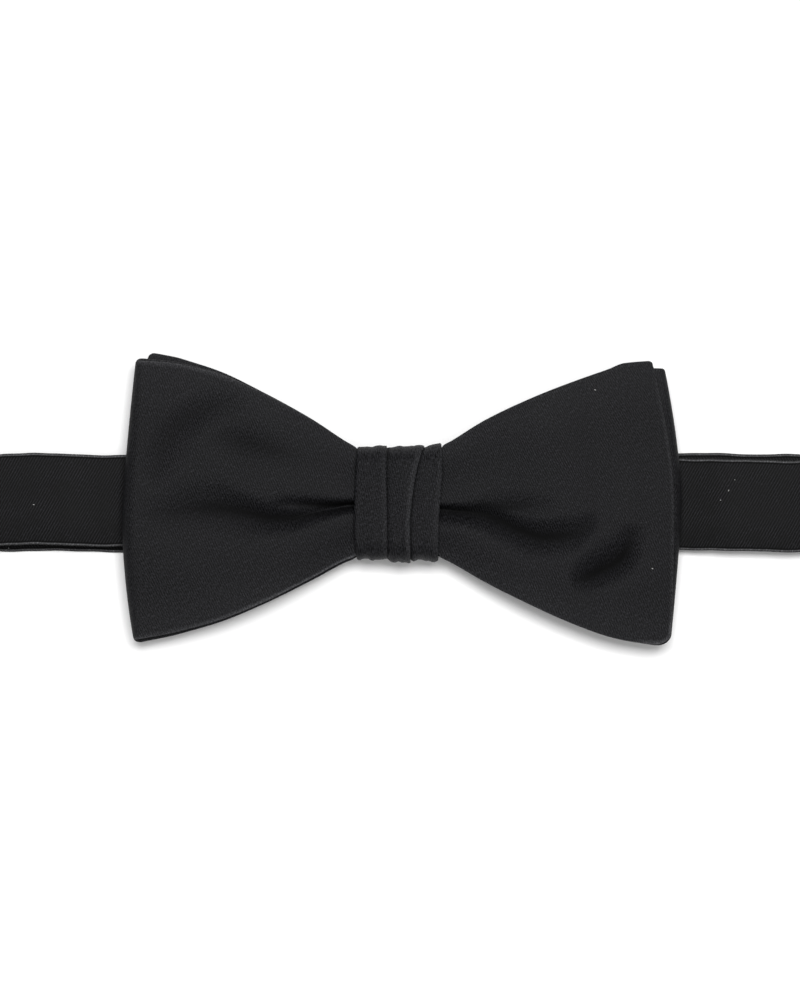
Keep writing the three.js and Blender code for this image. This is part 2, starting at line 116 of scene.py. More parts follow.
def along(keys, values, at):
    """Smooth curve through the rows (keys, values), read at every place in at."""
    span = np.diff(keys)
    slope = np.diff(values) / span
    before, after = slope[:-1], slope[1:]
    same_way = before * after > 0
    total = np.where(same_way, before + after, 1.0)
    inner = np.where(same_way, 2 * before * after / total, 0.0)
    tangent = np.concatenate([slope[:1], inner, slope[-1:]])
    at = np.clip(at, keys[0], keys[-1])
    row = np.clip(np.searchsorted(keys, at) - 1, 0, len(slope) - 1)
    share = (at - keys[row]) / span[row]
    rising = share * share * (3 - 2 * share)
    bend = (1 - share) * tangent[row] - share * tangent[row + 1]
    return mix(values[row], values[row + 1], rising) + span[row] * share * (1 - share) * bend


def column_at(rows, column, at):
    """One column of a table as a smooth curve over the table's first column."""
    return along(rows[rows.dtype.names[0]], rows[column], at)


print("a curve through 0, 1 and 0, at its quarters:",
      along(np.arange(3), np.array([0.0, 1.0, 0.0]), np.array([0.5, 1.0, 1.5])))

# %% [markdown]
# ## Outline of the wings
#
# From the knot the edges of a butterfly bow flare out in a slow S. The wings aren't twins: the right
# one hangs a little lower. The ends bow outwards: a fold is fullest at mid height.

# %% Outline
OUTLINE = table(
    "out, left_top, left_bottom, right_top, right_bottom",
    (0.0, 9.9, -11.6, 9.9, -11.6),
    (8.4, 9.9, -11.6, 9.9, -11.6),
    (9.0, 11.2, -12.5, 10.3, -12.5),
    (9.7, 11.7, -12.95, 11.7, -12.9),
    (11.5, 12.75, -13.65, 12.75, -13.75),
    (19.0, 17.6, -17.65, 17.4, -18.05),
    (29.0, 22.9, -22.6, 22.1, -23.05),
    (39.0, 27.3, -26.65, 26.0, -27.45),
    (45.5, 29.0, -28.5, 28.3, -29.75),
    (49.0, 29.7, -29.4, 29.65, -30.6),
    (57.0, 30.3, -30.9, 30.3, -31.9),
)
# A leaf's own lift and spread grow with this power of the way to here
OUTER_END = 57.0
MOVED_POWER = 3

# Where the strips end or fold, at mid height and at both corners, and how the end bows between them
# (above and below it). A fold's reach is that in its middle and at its corners. A rounded corner has
# a run along the edge and a rise, again above and below.
LEFT_FOLD = {"middle": -60.9, "top": -58.0, "bottom": -58.5, "bow": (1.25, 1.9), "reach": (2.6, 1.1),
             "run": (0.5, 0.5), "rise": (0.5, 0.5)}
RIGHT_FOLD = {"middle": 60.8, "top": 57.2, "bottom": 58.6, "bow": (1.6, 1.25), "reach": (1.5, 0.7),
              "run": (0.5, 4.4), "rise": (0.5, 2.4)}
LEFT_FLAT_END = {"middle": -58.6, "top": -55.6, "bottom": -57.0, "bow": (1.6, 1.6),
                 "run": (1.6, 1.6), "rise": (1.6, 1.6)}
RIGHT_FLAT_END = {"middle": 58.9, "top": 54.4, "bottom": 58.3, "bow": (1.6, 1.6),
                  "run": (1.1, 5.2), "rise": (1.1, 3.0)}


def dent_path(*rows):
    """Points of a dent's bottom, its depths, and the run of its slope on the sides above and below."""
    return table("x, y, depth, above, below", *rows)


# The crease that starts in the knot
CREASE = dent_path(
    (-58.0, -3.4, 0.0, 4.4, 4.4),
    (-52.0, -3.0, 0.9, 4.8, 4.8),
    (-47.0, -2.1, 1.4, 4.8, 5.0),
    (-41.7, -1.6, 1.9, 4.5, 5.2),
    (-35.2, -2.4, 2.3, 3.0, 4.4),
    (-31.5, -3.3, 2.5, 2.5, 3.2),
    (-28.0, -3.9, 2.7, 2.2, 2.4),
    (-24.3, -3.9, 2.5, 1.8, 2.1),
    (-20.0, -3.05, 1.8, 1.4, 1.7),
    (-15.7, -2.15, 0.8, 0.9, 1.1),
    (-10.5, -1.35, 0.2, 0.7, 0.8),
    (9.0, -2.2, 1.9, 0.8, 2.2),
    (12.5, -2.55, 2.2, 1.1, 1.9),
    (16.8, -3.0, 2.35, 1.6, 2.5),
    (21.2, -4.5, 2.6, 2.0, 3.2),
    (25.5, -6.6, 2.7, 2.5, 3.2),
    (30.9, -8.1, 2.6, 3.1, 3.1),
    (36.3, -7.7, 2.0, 2.9, 3.1),
    (40.0, -6.0, 1.2, 2.3, 2.4),
    (43.0, -4.2, 0.0, 2.0, 2.4),
    (58.0, -0.9, 0.0, 2.0, 2.4),
)


def crease_y(x):
    return column_at(CREASE, "y", x)


def edges_of(shape, x):
    """Upper and lower edge of a leaf at x."""
    out = np.abs(x - KNOT_X)
    sides = [
        [column_at(OUTLINE, side + edge, out) for side in ("left_", "right_")]
        for edge in ("top", "bottom")]
    top, bottom = [np.where(x < KNOT_X, *edge) for edge in sides]
    moved = np.minimum(out / OUTER_END, 1) ** MOVED_POWER
    top = top + (shape["lift"] + shape["spread"]) * moved
    bottom = bottom + (shape["lift"] - shape["spread"]) * moved + shape["drawn_in"]
    return top, bottom


def end_at(end, across):
    """x of a strip's end at a share of the way from the crease (0) to an edge (1 or -1)."""
    up = across > 0
    corner = np.where(up, end["top"], end["bottom"])
    return mix(end["middle"], corner, np.abs(across) ** np.where(up, *end["bow"]))


def drawn_in_at(end, x, up):
    """How far an edge is drawn in at x by the rounded corner of the strip's end."""
    corner = np.where(up, end["top"], end["bottom"])
    past = np.clip(1 - np.abs(corner - x) / np.where(up, *end["run"]), 0, 1)
    past = np.where(np.abs(x) > np.abs(corner), 1, past)
    return np.where(up, *end["rise"]) * (1 - np.sqrt(1 - past ** 2))


print("outline", round(RIGHT_FOLD["middle"] - LEFT_FOLD["middle"], 1), "mm wide,",
      round(OUTLINE.right_top.max() - OUTLINE.right_bottom.min(), 1), "mm high at most")

# %% [markdown]
# ## Dents and creases
#
# Satin shows its form only by light, so the dents are what the eye reads on a black bow. A dent is a
# path over the cloth, with a depth at each point. `flank` is the shape of its slopes: a slope leaves
# the bottom in a curve, goes up straight, and is rounded into the cloth around it. A small softness
# makes a crisp shoulder.

# %% Dents
# Rim of the left loop, where the wing sinks behind its fold
LEFT_ARC = dent_path(
    (-55.0, 1.5, 0.0, 1.8, 2.6),
    (-53.5, 7.0, 0.8, 2.6, 3.0),
    (-51.5, 12.3, 1.1, 2.7, 3.2),
    (-48.2, 16.4, 1.2, 2.7, 3.2),
    (-44.2, 19.2, 1.2, 2.7, 3.2),
    (-39.5, 20.7, 0.9, 2.5, 3.2),
    (-33.0, 21.0, 0.0, 2.0, 2.6),
)
LEFT_HOLLOW = dent_path(
    (-43.5, 13.6, 0.0, 2.6, 3.4),
    (-37.0, 12.8, 1.0, 3.2, 4.2),
    (-33.0, 12.0, 1.35, 3.4, 4.6),
    (-28.5, 10.9, 1.15, 3.4, 4.6),
    (-17.0, 8.0, 0.0, 2.6, 3.6),
)
# Second fold beside the left crease, which starts inside the knot
LEFT_TUCK = dent_path(
    (-8.0, -0.9, 2.2, 0.6, 0.9),
    (-15.7, -1.2, 2.3, 0.8, 1.2),
    (-20.0, -1.1, 2.1, 1.0, 1.4),
    (-24.3, -1.0, 1.3, 1.2, 1.4),
    (-29.5, -1.4, 0.0, 1.4, 1.2),
)
RIGHT_DENT = dent_path(
    (36.5, -18.2, 0.0, 2.2, 2.0),
    (40.0, -16.9, 2.1, 2.6, 2.4),
    (43.0, -15.4, 2.9, 2.9, 2.5),
    (47.0, -13.2, 2.9, 3.0, 2.5),
    (49.0, -10.2, 2.0, 2.6, 2.2),
    (50.2, -5.5, 0.0, 2.0, 2.0),
)
RIGHT_HOLLOW = dent_path(
    (14.0, -0.4, 0.0, 1.6, 1.8),
    (19.0, -1.3, 1.5, 2.1, 2.4),
    (23.0, -1.7, 1.7, 2.3, 2.6),
    (29.0, -1.6, 0.8, 2.1, 2.4),
    (35.0, -1.4, 0.0, 1.6, 1.9),
)
DENTS = [LEFT_ARC, LEFT_HOLLOW, RIGHT_DENT, RIGHT_HOLLOW]
# Softness of a slope's shoulder, and how many straight pieces a path has from row to row
SHARP = 0.22
SOFT = 0.35
PATH_STEPS = 8
# How much of a slope's run belongs to the rounded bottom
BOTTOM_ROUND = 0.24
# The depth at which the painted shade in a dent's bottom is full, and how narrow that shaded bottom is
FULL_SHADE_DEPTH = 3.0
BOTTOM_SHADE_POWER = 4


def flank(distance, run, softness):
    """1 in the bottom of a crease, falling in a straight slope to 0 at about distance = run."""
    gone = np.hypot(distance / run, BOTTOM_ROUND) - BOTTOM_ROUND
    rest = np.logaddexp(0, (1 - gone) / softness)
    return rest / np.logaddexp(0, 1 / softness)


def painted_bottom_shade(depth, share):
    """Painted shade in the bottom of a dent, from 0 to 1, fuller in deeper dents."""
    return smooth_step(0, FULL_SHADE_DEPTH, depth) * share ** BOTTOM_SHADE_POWER


def crease_share(x, y):
    """1 in the bottom of the main crease, 0 away from it."""
    away = y - crease_y(x)
    above = flank(np.abs(away), column_at(CREASE, "above", x), SHARP)
    below = flank(np.abs(away), column_at(CREASE, "below", x), SOFT)
    return np.where(away > 0, above, below)


def depth_of(dent, x, y):
    """How deep one dent is at every point, from its nearest place on the path, and the painted shade of its
    bottom.
    """
    rows = np.arange(len(dent), dtype=float)
    fine = np.linspace(0, rows[-1], (len(dent) - 1) * PATH_STEPS + 1)
    px, py, depth, above, below = [along(rows, dent[name], fine) for name in dent.dtype.names]
    nearest = np.full(x.shape, np.inf)
    result, mark = np.zeros(x.shape), np.zeros(x.shape)
    for i in range(len(fine) - 1):
        run_x, run_y = px[i + 1] - px[i], py[i + 1] - py[i]
        share = ((x - px[i]) * run_x + (y - py[i]) * run_y) / (run_x ** 2 + run_y ** 2)
        share = np.clip(share, 0, 1)
        away_x = x - px[i] - run_x * share
        away_y = y - py[i] - run_y * share
        distance = np.hypot(away_x, away_y)
        is_above = (run_x * away_y - run_y * away_x) * np.sign(run_x) > 0
        run = np.where(is_above, mix(above[i], above[i + 1], share), mix(below[i], below[i + 1], share))
        down = flank(distance, run, SOFT)
        here = mix(depth[i], depth[i + 1], share)
        result = np.where(distance < nearest, here * down, result)
        mark = np.where(distance < nearest, painted_bottom_shade(here, down), mark)
        nearest = np.minimum(nearest, distance)
    return result, mark


# %% [markdown]
# ## Level of the cloth
#
# In the knot the strips are squeezed into two ridges with a crease between them, and the squeeze
# fades out along the wing. The front leaves get a tight crease, as two rolled folds that touch, and
# the leaves behind them a wide one. Small waves of a tenth of a millimetre keep the cloth from
# looking like a machined plate.

# %% Level of a leaf
# A fold's half height in its middle and at its corners, and how its size goes from one to the other
FOLD_HALF_HEIGHT = (LOOP_HEIGHT / 2, 1.5)
FOLD_POWER = 1.5
# Towards a fold the two leaves are pressed together, over these distances from the knot
PRESSED = (26.0, 57.0)
# The front leaf's part of that way
FRONT_PRESSED = 0.35
# The wings droop by this much at this distance past the band's edge
DROOP = {"depth": 0.6, "run": 20.0}
# A dent is a little deeper in the leaf behind, so that the two never touch
HIDDEN_DENT = 1.15
# Half widths of a rear leaf's crease and of a wing: at the knot, and what each millimetre out adds
REAR_CREASE = (3.2, 0.15)
HALF_WING = (11.0, 0.7)
# How much of a ridge is gone at the outer edge, and between which shares of half a wing it goes
EDGE_FALL = {"front": 0.5, "rear": 0.9, "shares": (0.2, 1.1)}
WAVES = table(
    "length, angle, phase, height",
    (31.0, 18.0, 0.4, 0.06),
    (23.0, 117.0, 2.1, 0.05),
    (15.0, 64.0, 4.0, 0.03),
    (11.0, 151.0, 1.3, 0.02),
)


def pinch(x):
    return 1 - smooth_step(KNOT_REACH, PINCH_END, np.abs(x - KNOT_X))


def ridges(x, y, is_front):
    """0 in the crease, 1 on the two ridges beside it, and low again at the outer edges."""
    out = np.maximum(np.abs(x - KNOT_X), KNOT_REACH) - KNOT_REACH
    distance = np.abs(y - crease_y(x))
    if is_front:
        rise = 1 - crease_share(x, y)
    else:
        half_crease = REAR_CREASE[0] + REAR_CREASE[1] * out
        rise = np.sin(np.pi / 2 * np.minimum(distance / half_crease, 1)) ** 2
    share = distance / (HALF_WING[0] + HALF_WING[1] * out)
    fall = EDGE_FALL["front" if is_front else "rear"]
    return rise * (1 - fall * smooth_step(*EDGE_FALL["shares"], share))


def waves(x, y):
    total = np.zeros(x.shape)
    for wave in WAVES:
        angle = math.radians(wave.angle)
        turned = x * math.cos(angle) + y * math.sin(angle)
        total += wave.height * np.sin(2 * np.pi * turned / wave.length + wave.phase)
    return total


def towards_corner(sizes, across):
    """A fold's size, from its middle to its corners, where it is pressed."""
    return mix(*sizes, np.abs(across) ** FOLD_POWER)


def level_at(shape, x, y, across):
    """Level of the middle of a leaf, and the painted shade in the bottoms of its folds."""
    held = pinch(x)
    is_front = shape["wing"] > LOWEST_WING + LOOP_HEIGHT / 2
    level = mix(shape["wing"], shape["knot"], held) + shape["ridge"] * held * ridges(x, y, is_front)
    level -= DROOP["depth"] * np.maximum((np.abs(y) - BAND_HALF_WIDTH) / DROOP["run"], 0) ** 2
    pressed = smooth_step(*PRESSED, np.abs(x - KNOT_X))
    pressed *= LOOP_HEIGHT - 2 * towards_corner(FOLD_HALF_HEIGHT, across)
    mark = np.zeros(x.shape)
    if shape["is_rear"]:
        level += (1 - FRONT_PRESSED) * pressed
    if is_front:
        level -= FRONT_PRESSED * pressed
        depth, share = column_at(CREASE, "depth", x), crease_share(x, y)
        # The crease and every dent bring the painted shade of their bottoms
        dents = [(depth * share, painted_bottom_shade(depth, share))] + [depth_of(dent, x, y) for dent in DENTS]
        dented = sum(depth for depth, _ in dents)
        tucked = 0
        # The left tuck stays as deep inside the knot as outside
        if shape is FRONT_LOOP_FRONT:
            dents.append(depth_of(LEFT_TUCK, x, y))
            tucked = dents[-1][0]
        mark = np.max([mark for _, mark in dents], axis=0)
        behind = HIDDEN_DENT if shape is BACK_LOOP_FRONT else 1
        level += (1 - held) * (waves(x, y) - behind * dented) - tucked
    return level, mark


# %% [markdown]
# ## A grid for each strip
#
# A strip is a grid of points: rows along it, columns across it. The columns crowd together at the
# crease, where the cloth bends most, and again at the edges, where five of them round the edge off.
# The grid lies on the cloth's outer face. Its thickness goes inwards, so that a tight crease never
# makes the face cut through itself.

# %% Grid of a strip
RIM = CLOTH / 2
RIM_ANGLES = np.radians([0, 22, 44, 66, 90])
RIM_INSETS = RIM * (1 - np.cos(RIM_ANGLES))
# How much of the painted edge highlight each column of the rim has, from the edge inwards
RIM_HIGHLIGHT = [0.0, 0.5, 1.0, 1.0, 0.6]
# Painted highlight along the edges. It changes along the left wing, between two distances from the knot,
# and rises at the lower right corner.
EDGE_HIGHLIGHT = 0.2
LEFT_ABOVE = {"pale": (EDGE_HIGHLIGHT, 0.5), "out": (30.0, 42.0)}
LEFT_BELOW = {"pale": (1.0, 0.5), "out": (18.0, 50.0)}
LOWER_CORNER = {"pale": (EDGE_HIGHLIGHT, 0.9), "out": (51.0, 54.0), "across": (0.85, 0.95)}
# Faint painted sheen on the cloth near the edges, from this share of the way out
NEAR_EDGE = {"pale": 0.06, "from": 0.6}
# Columns between the crease and an edge, and the power that crowds them at the crease
INNER_COLUMNS = 54
CROWDING = 1.3
# Distances between rows: on a wing, on a rear leaf, inside the knot and where the cloth comes out of it
WING_STEP = 0.55
REAR_STEP = 1.1
INSIDE_STEP = 1.6
MOUTH_STEP = 0.3
# Where the cloth comes out of the knot, as distances from its middle
MOUTH = (KNOT_REACH - 1.4, KNOT_REACH + 3.0)
FOLD_ROWS = 15
# A strip's sewn end lies this far beyond the knot's middle
SEWN_END = -8.0

inner_shares = np.linspace(0, 1, INNER_COLUMNS + 1)[:-1] ** CROWDING
half_shares = np.concatenate([inner_shares, np.ones(len(RIM_INSETS))])
half_insets = np.concatenate([np.full(INNER_COLUMNS, np.inf), RIM_INSETS[::-1]])
column_share = np.concatenate([-half_shares[:0:-1], half_shares])[None, :]
column_inset = np.concatenate([half_insets[:0:-1], half_insets])[None, :]


def place_across(shape, x, end):
    """y of each column at x, and its share of the way to the edge."""
    top, bottom = edges_of(shape, x)
    crease = crease_y(x)
    up = column_share > 0
    reach = np.where(up, top - crease, crease - bottom) - drawn_in_at(end, x, up)
    offset = np.where(column_inset < RIM, reach - column_inset, np.abs(column_share) * (reach - RIM))
    return crease + np.sign(column_share) * offset, np.sign(column_share) * offset / reach


def painted_highlight_share(shape, x, across):
    """How strong the painted highlight along a leaf's edge is: strongest on the left wing's front leaf and
    at the front flat end's lower right corner.
    """
    out = np.abs(x - KNOT_X)
    if shape is FRONT_FLAT:
        near = smooth_step(*LOWER_CORNER["out"], out) * smooth_step(*LOWER_CORNER["across"], -across)
        return mix(*LOWER_CORNER["pale"], near)
    if shape is not FRONT_LOOP_FRONT:
        return np.full(np.broadcast(x, across).shape, EDGE_HIGHLIGHT)
    above, below = [mix(*edge["pale"], smooth_step(*edge["out"], out)) for edge in (LEFT_ABOVE, LEFT_BELOW)]
    return np.where(across > 0, above, below)


def leaf_rows(shape, facing, x_of, end):
    """Points of one leaf; x_of gives the x of every row from the columns' shares."""
    across = column_share
    # x depends on the shares and they depend on x, so both are found in three rounds
    for _ in range(3):
        x = x_of(across)
        y, across = place_across(shape, x, end)
    level, mark = level_at(shape, x, y, across)
    return np.stack([x, y, level + facing * RIM, mark, painted_highlight_share(shape, x, across)], axis=-1)


def fold_joint(fold, across):
    side = np.sign(fold["middle"])
    return end_at(fold, across) - side * (RIM + towards_corner(fold["reach"], across))


def fold_rows(rear_shape, front_shape, fold, turns):
    """Points round a fold, from the rear leaf to the front leaf."""
    side = np.sign(fold["middle"])
    rear = leaf_rows(rear_shape, -1, lambda across: fold_joint(fold, across), fold)
    front = leaf_rows(front_shape, 1, lambda across: fold_joint(fold, across), fold)
    across = column_share
    up = across > 0
    reach = towards_corner(fold["reach"], across) + RIM
    turned = (1 - np.cos(turns[:, None])) / 2
    x = rear[..., 0] + side * reach * np.sin(turns[:, None])
    drawn_in = drawn_in_at(fold, x, up) - drawn_in_at(fold, rear[..., 0], up)
    y = mix(rear[..., 1], front[..., 1], turned) - across * drawn_in
    z = mix(rear[..., 2], front[..., 2], turned)
    return np.stack([x, y, z, np.zeros(x.shape), mix(rear[..., 4], front[..., 4], turned)], axis=-1)


def row_distances(wing):
    """Distances of a front leaf's rows from the knot: few inside it, many where the cloth comes out."""
    inside = np.arange(INSIDE_STEP / 2, MOUTH[0] - INSIDE_STEP / 2, INSIDE_STEP)
    outside = np.arange(MOUTH[1], wing - WING_STEP / 2, WING_STEP)
    return np.concatenate([inside, np.arange(*MOUTH, MOUTH_STEP), outside])


def strip_points(rear_shape, front_shape, flat_shape, fold, flat_end):
    """Outer face of a whole strip, from its sewn end in the knot to its flat end."""
    side = np.sign(fold["middle"])
    wing = abs(fold["middle"] - KNOT_X)

    def to_fold(distances):
        shares = (distances / wing)[:, None]
        return lambda across: mix(KNOT_X, fold_joint(fold, across), shares)

    sewn = np.arange(SEWN_END, wing, REAR_STEP)
    rear = leaf_rows(rear_shape, -1, to_fold(sewn), fold)
    turned = fold_rows(rear_shape, front_shape, fold, np.linspace(0, np.pi, FOLD_ROWS))
    wing_rows = row_distances(wing)[::-1]
    front = leaf_rows(front_shape, 1, to_fold(wing_rows), fold)
    flat_wing = abs(flat_end["middle"] - KNOT_X)
    inner_rows = np.append(row_distances(flat_wing), flat_wing) / flat_wing
    shares = np.concatenate([inner_rows, np.ones(len(RIM_INSETS) - 1)])[:, None]
    shift = np.concatenate([np.zeros(len(inner_rows)), RIM_INSETS[-2::-1] - RIM])[:, None]

    def to_end(across):
        return mix(KNOT_X, end_at(flat_end, across) + side * RIM, shares) + side * shift

    flat = leaf_rows(flat_shape, 1, to_end, flat_end)
    insets = np.full(len(rear) + len(turned) + len(front) + len(flat), np.inf)
    insets[-len(RIM_INSETS):] = RIM_INSETS[::-1]
    insets[0] = 0
    return np.concatenate([rear, turned, front, flat]), insets


# %% [markdown]
# ## From points to a cloth with two faces
#
# The grid's normals come from the cross product of its two directions. The second face lies one
# thickness behind the first, and at the rim both draw together on a half circle, so an edge catches
# a thin line of light as a pressed fold does. The UV map is in millimetres along and across the
# strip: the weave is drawn on it later and follows every fold. Two marks go with it. "edge" says how
# much painted highlight the cloth gets along its edges. "fold" says how much painted shade the
# bottom of a crease gets.

# %% Cloth from a grid


def new_object(name, data):
    made = bpy.data.objects.new(name, data)
    bpy.context.scene.collection.objects.link(made)
    return made


def unit(vectors):
    return vectors / np.maximum(np.linalg.norm(vectors, axis=-1, keepdims=True), 1e-12)


def grid_normals(points):
    return unit(np.cross(np.gradient(points, axis=0), np.gradient(points, axis=1)))


def round_off(insets):
    """Share of the full thickness at a distance from the rim."""
    return np.sqrt(1 - (1 - np.minimum(insets / RIM, 1)) ** 2)


def painted_rim_highlight(insets):
    """How much of the painted edge highlight shows at a distance from the rim."""
    return np.interp(insets, RIM_INSETS, RIM_HIGHLIGHT, right=0)


def mesh_piece(name, points, quads, uv, marks, material):
    """Object at the origin from points in millimetres, with a UV map and marks for its finish."""
    mesh = bpy.data.meshes.new(name)
    mesh.from_pydata((points * MM).tolist(), [], quads.tolist())
    loops = np.zeros(len(mesh.loops), dtype=np.int32)
    mesh.loops.foreach_get("vertex_index", loops)
    mesh.uv_layers.new(name="cloth").data.foreach_set("uv", uv[loops].astype(np.float32).ravel())
    for label, values in marks.items():
        mesh.attributes.new(label, "FLOAT", "POINT").data.foreach_set("value", values.astype(np.float32))
    mesh.shade_smooth()
    mesh.materials.append(material)
    mesh.validate()
    return new_object(name, mesh)


def cloth_piece(name, grid, row_insets, material):
    """Closed cloth from the grid of its outer face, whose normals point out of the cloth."""
    points, fold, pale = grid[..., :3], grid[..., 3], grid[..., 4]
    rows, columns = points.shape[:2]
    normal = grid_normals(points)
    full = round_off(row_insets)[:, None] * round_off(column_inset)
    outer = points - normal * (RIM * (1 - full))[..., None]
    inner = points - normal * (RIM * (1 + full))[..., None]
    middle = columns // 2
    length = np.concatenate([[0], np.cumsum(np.linalg.norm(np.diff(points[:, middle], axis=0), axis=1))])
    u = np.broadcast_to(length[:, None], (rows, columns))
    v = points[..., 1]
    outer_index = np.arange(rows * columns).reshape(rows, columns)
    inner_index = outer_index.copy()
    inner_index[1:-1, 1:-1] = rows * columns + np.arange((rows - 2) * (columns - 2)).reshape(rows - 2, -1)
    inside = (slice(1, -1), slice(1, -1))

    def quads(index):
        corners = [index[:-1, :-1], index[1:, :-1], index[1:, 1:], index[:-1, 1:]]
        return np.stack(corners, axis=-1).reshape(-1, 4)

    all_points = np.concatenate([outer.reshape(-1, 3), inner[inside].reshape(-1, 3)])
    all_quads = np.concatenate([quads(outer_index), quads(inner_index)[:, ::-1]])
    uv = np.stack([u, v], axis=-1)
    all_uv = np.concatenate([uv.reshape(-1, 2), uv[inside].reshape(-1, 2)])
    # Marks: painted highlight along the rims, faint painted sheen near the edges, painted shade in crease
    # bottoms
    rim = np.maximum(painted_rim_highlight(row_insets)[:, None], painted_rim_highlight(column_inset))
    near_edge = NEAR_EDGE["pale"] * smooth_step(NEAR_EDGE["from"], 1, np.abs(column_share))
    marks = {"edge": np.maximum(pale * rim, near_edge), "fold": fold}
    marks = {label: np.concatenate([mark.ravel(), mark[inside].ravel()]) for label, mark in marks.items()}
    piece = mesh_piece(name, all_points, all_quads, all_uv, marks, material)
    print(name, len(all_quads) * 2, "triangles,", round(length[-1], 1), "mm long")
    return piece


# %% [markdown]
# ## Adding nodes
#
# Materials and node trees are both built from nodes, links and settings, so one small function adds
# a node of either kind. A value that is itself a socket is linked, anything else is set. The other
# functions are short names for the nodes that come back again and again.

# %% Node helpers


def add_node(tree, kind, values=None, **settings):
    node = tree.nodes.new(kind)
    for name, value in settings.items():
        setattr(node, name, value)
    for name, value in (values or {}).items():
        if isinstance(value, bpy.types.NodeSocket):
            tree.links.new(value, node.inputs[name])
        else:
            node.inputs[name].default_value = value
    return node


def linear(hex_colour, alpha=1.0):
    """Linear colour from an sRGB hex value."""
    channels = [int(hex_colour[i:i + 2], 16) / 255 for i in (1, 3, 5)]
    return [c / 12.92 if c <= 0.04045 else ((c + 0.055) / 1.055) ** 2.4 for c in channels] + [alpha]


def maths(tree, operation, *values):
    return add_node(tree, "ShaderNodeMath", dict(enumerate(values)), operation=operation).outputs[0]


def blend(tree, factor, start, end, kind="FLOAT"):
    low, high, out = (2, 3, 0) if kind == "FLOAT" else (6, 7, 2)
    values = {"Factor": factor, low: start, high: end}
    return add_node(tree, "ShaderNodeMix", values, data_type=kind).outputs[out]


def map_range(tree, value, low, high, to_low=0.0, to_high=1.0):
    return add_node(tree, "ShaderNodeMapRange", {
        "Value": value, "From Min": low, "From Max": high, "To Min": to_low, "To Max": to_high,
    }).outputs["Result"]


def noise(tree, place, scale, detail=2.0, roughness=0.5):
    return add_node(tree, "ShaderNodeTexNoise", {
        "Vector": place, "Scale": scale, "Detail": detail, "Roughness": roughness,
    }).outputs["Fac"]


def bump(tree, height, strength, millimetres):
    return add_node(tree, "ShaderNodeBump", {
        "Strength": strength, "Distance": millimetres * MM, "Height": height,
    }).outputs["Normal"]


def new_material(name):
    material = bpy.data.materials.new(name)
    material.use_nodes = True
    material.node_tree.nodes.clear()
    return material, material.node_tree


def finish_material(tree, values):
    """The end of every material: one shader with these values, and the output."""
    shader = add_node(tree, "ShaderNodeBsdfPrincipled", values)
    add_node(tree, "ShaderNodeOutputMaterial", {"Surface": shader.outputs["BSDF"]})


# %% [markdown]
# ## Black silk satin
#
# Satin is woven with long floats, so it is smooth and has a broad soft sheen, and this one has a
# fine diagonal line like a twill. The line repeats about every half millimetre, which is coarser
# than the real weave, so that it can be seen at the size of the photograph. It is drawn as a wave on
# the UV map, broken up by a noise that is stretched along the line, as single yarns lie a little
# higher or lower. A larger noise lets the weave fade in patches. Edges get a painted highlight and
# the bottoms of creases a painted shade. The strap has a painted highlight line and a seam with
# painted shade along both edges, which come from the UV map alone.

# %% Satin
# Length after which a wave texture repeats at scale 1
WAVE_PERIOD = 2 * math.pi / 20
# Distances from a strap's edge, in millimetres: a line with a painted highlight, and beside it a seam with
# painted shade
HEM_HIGHLIGHT = {"at": 0.32, "width": 0.24}
HEM_SEAM_SHADE = {"at": 0.72, "width": 0.22}


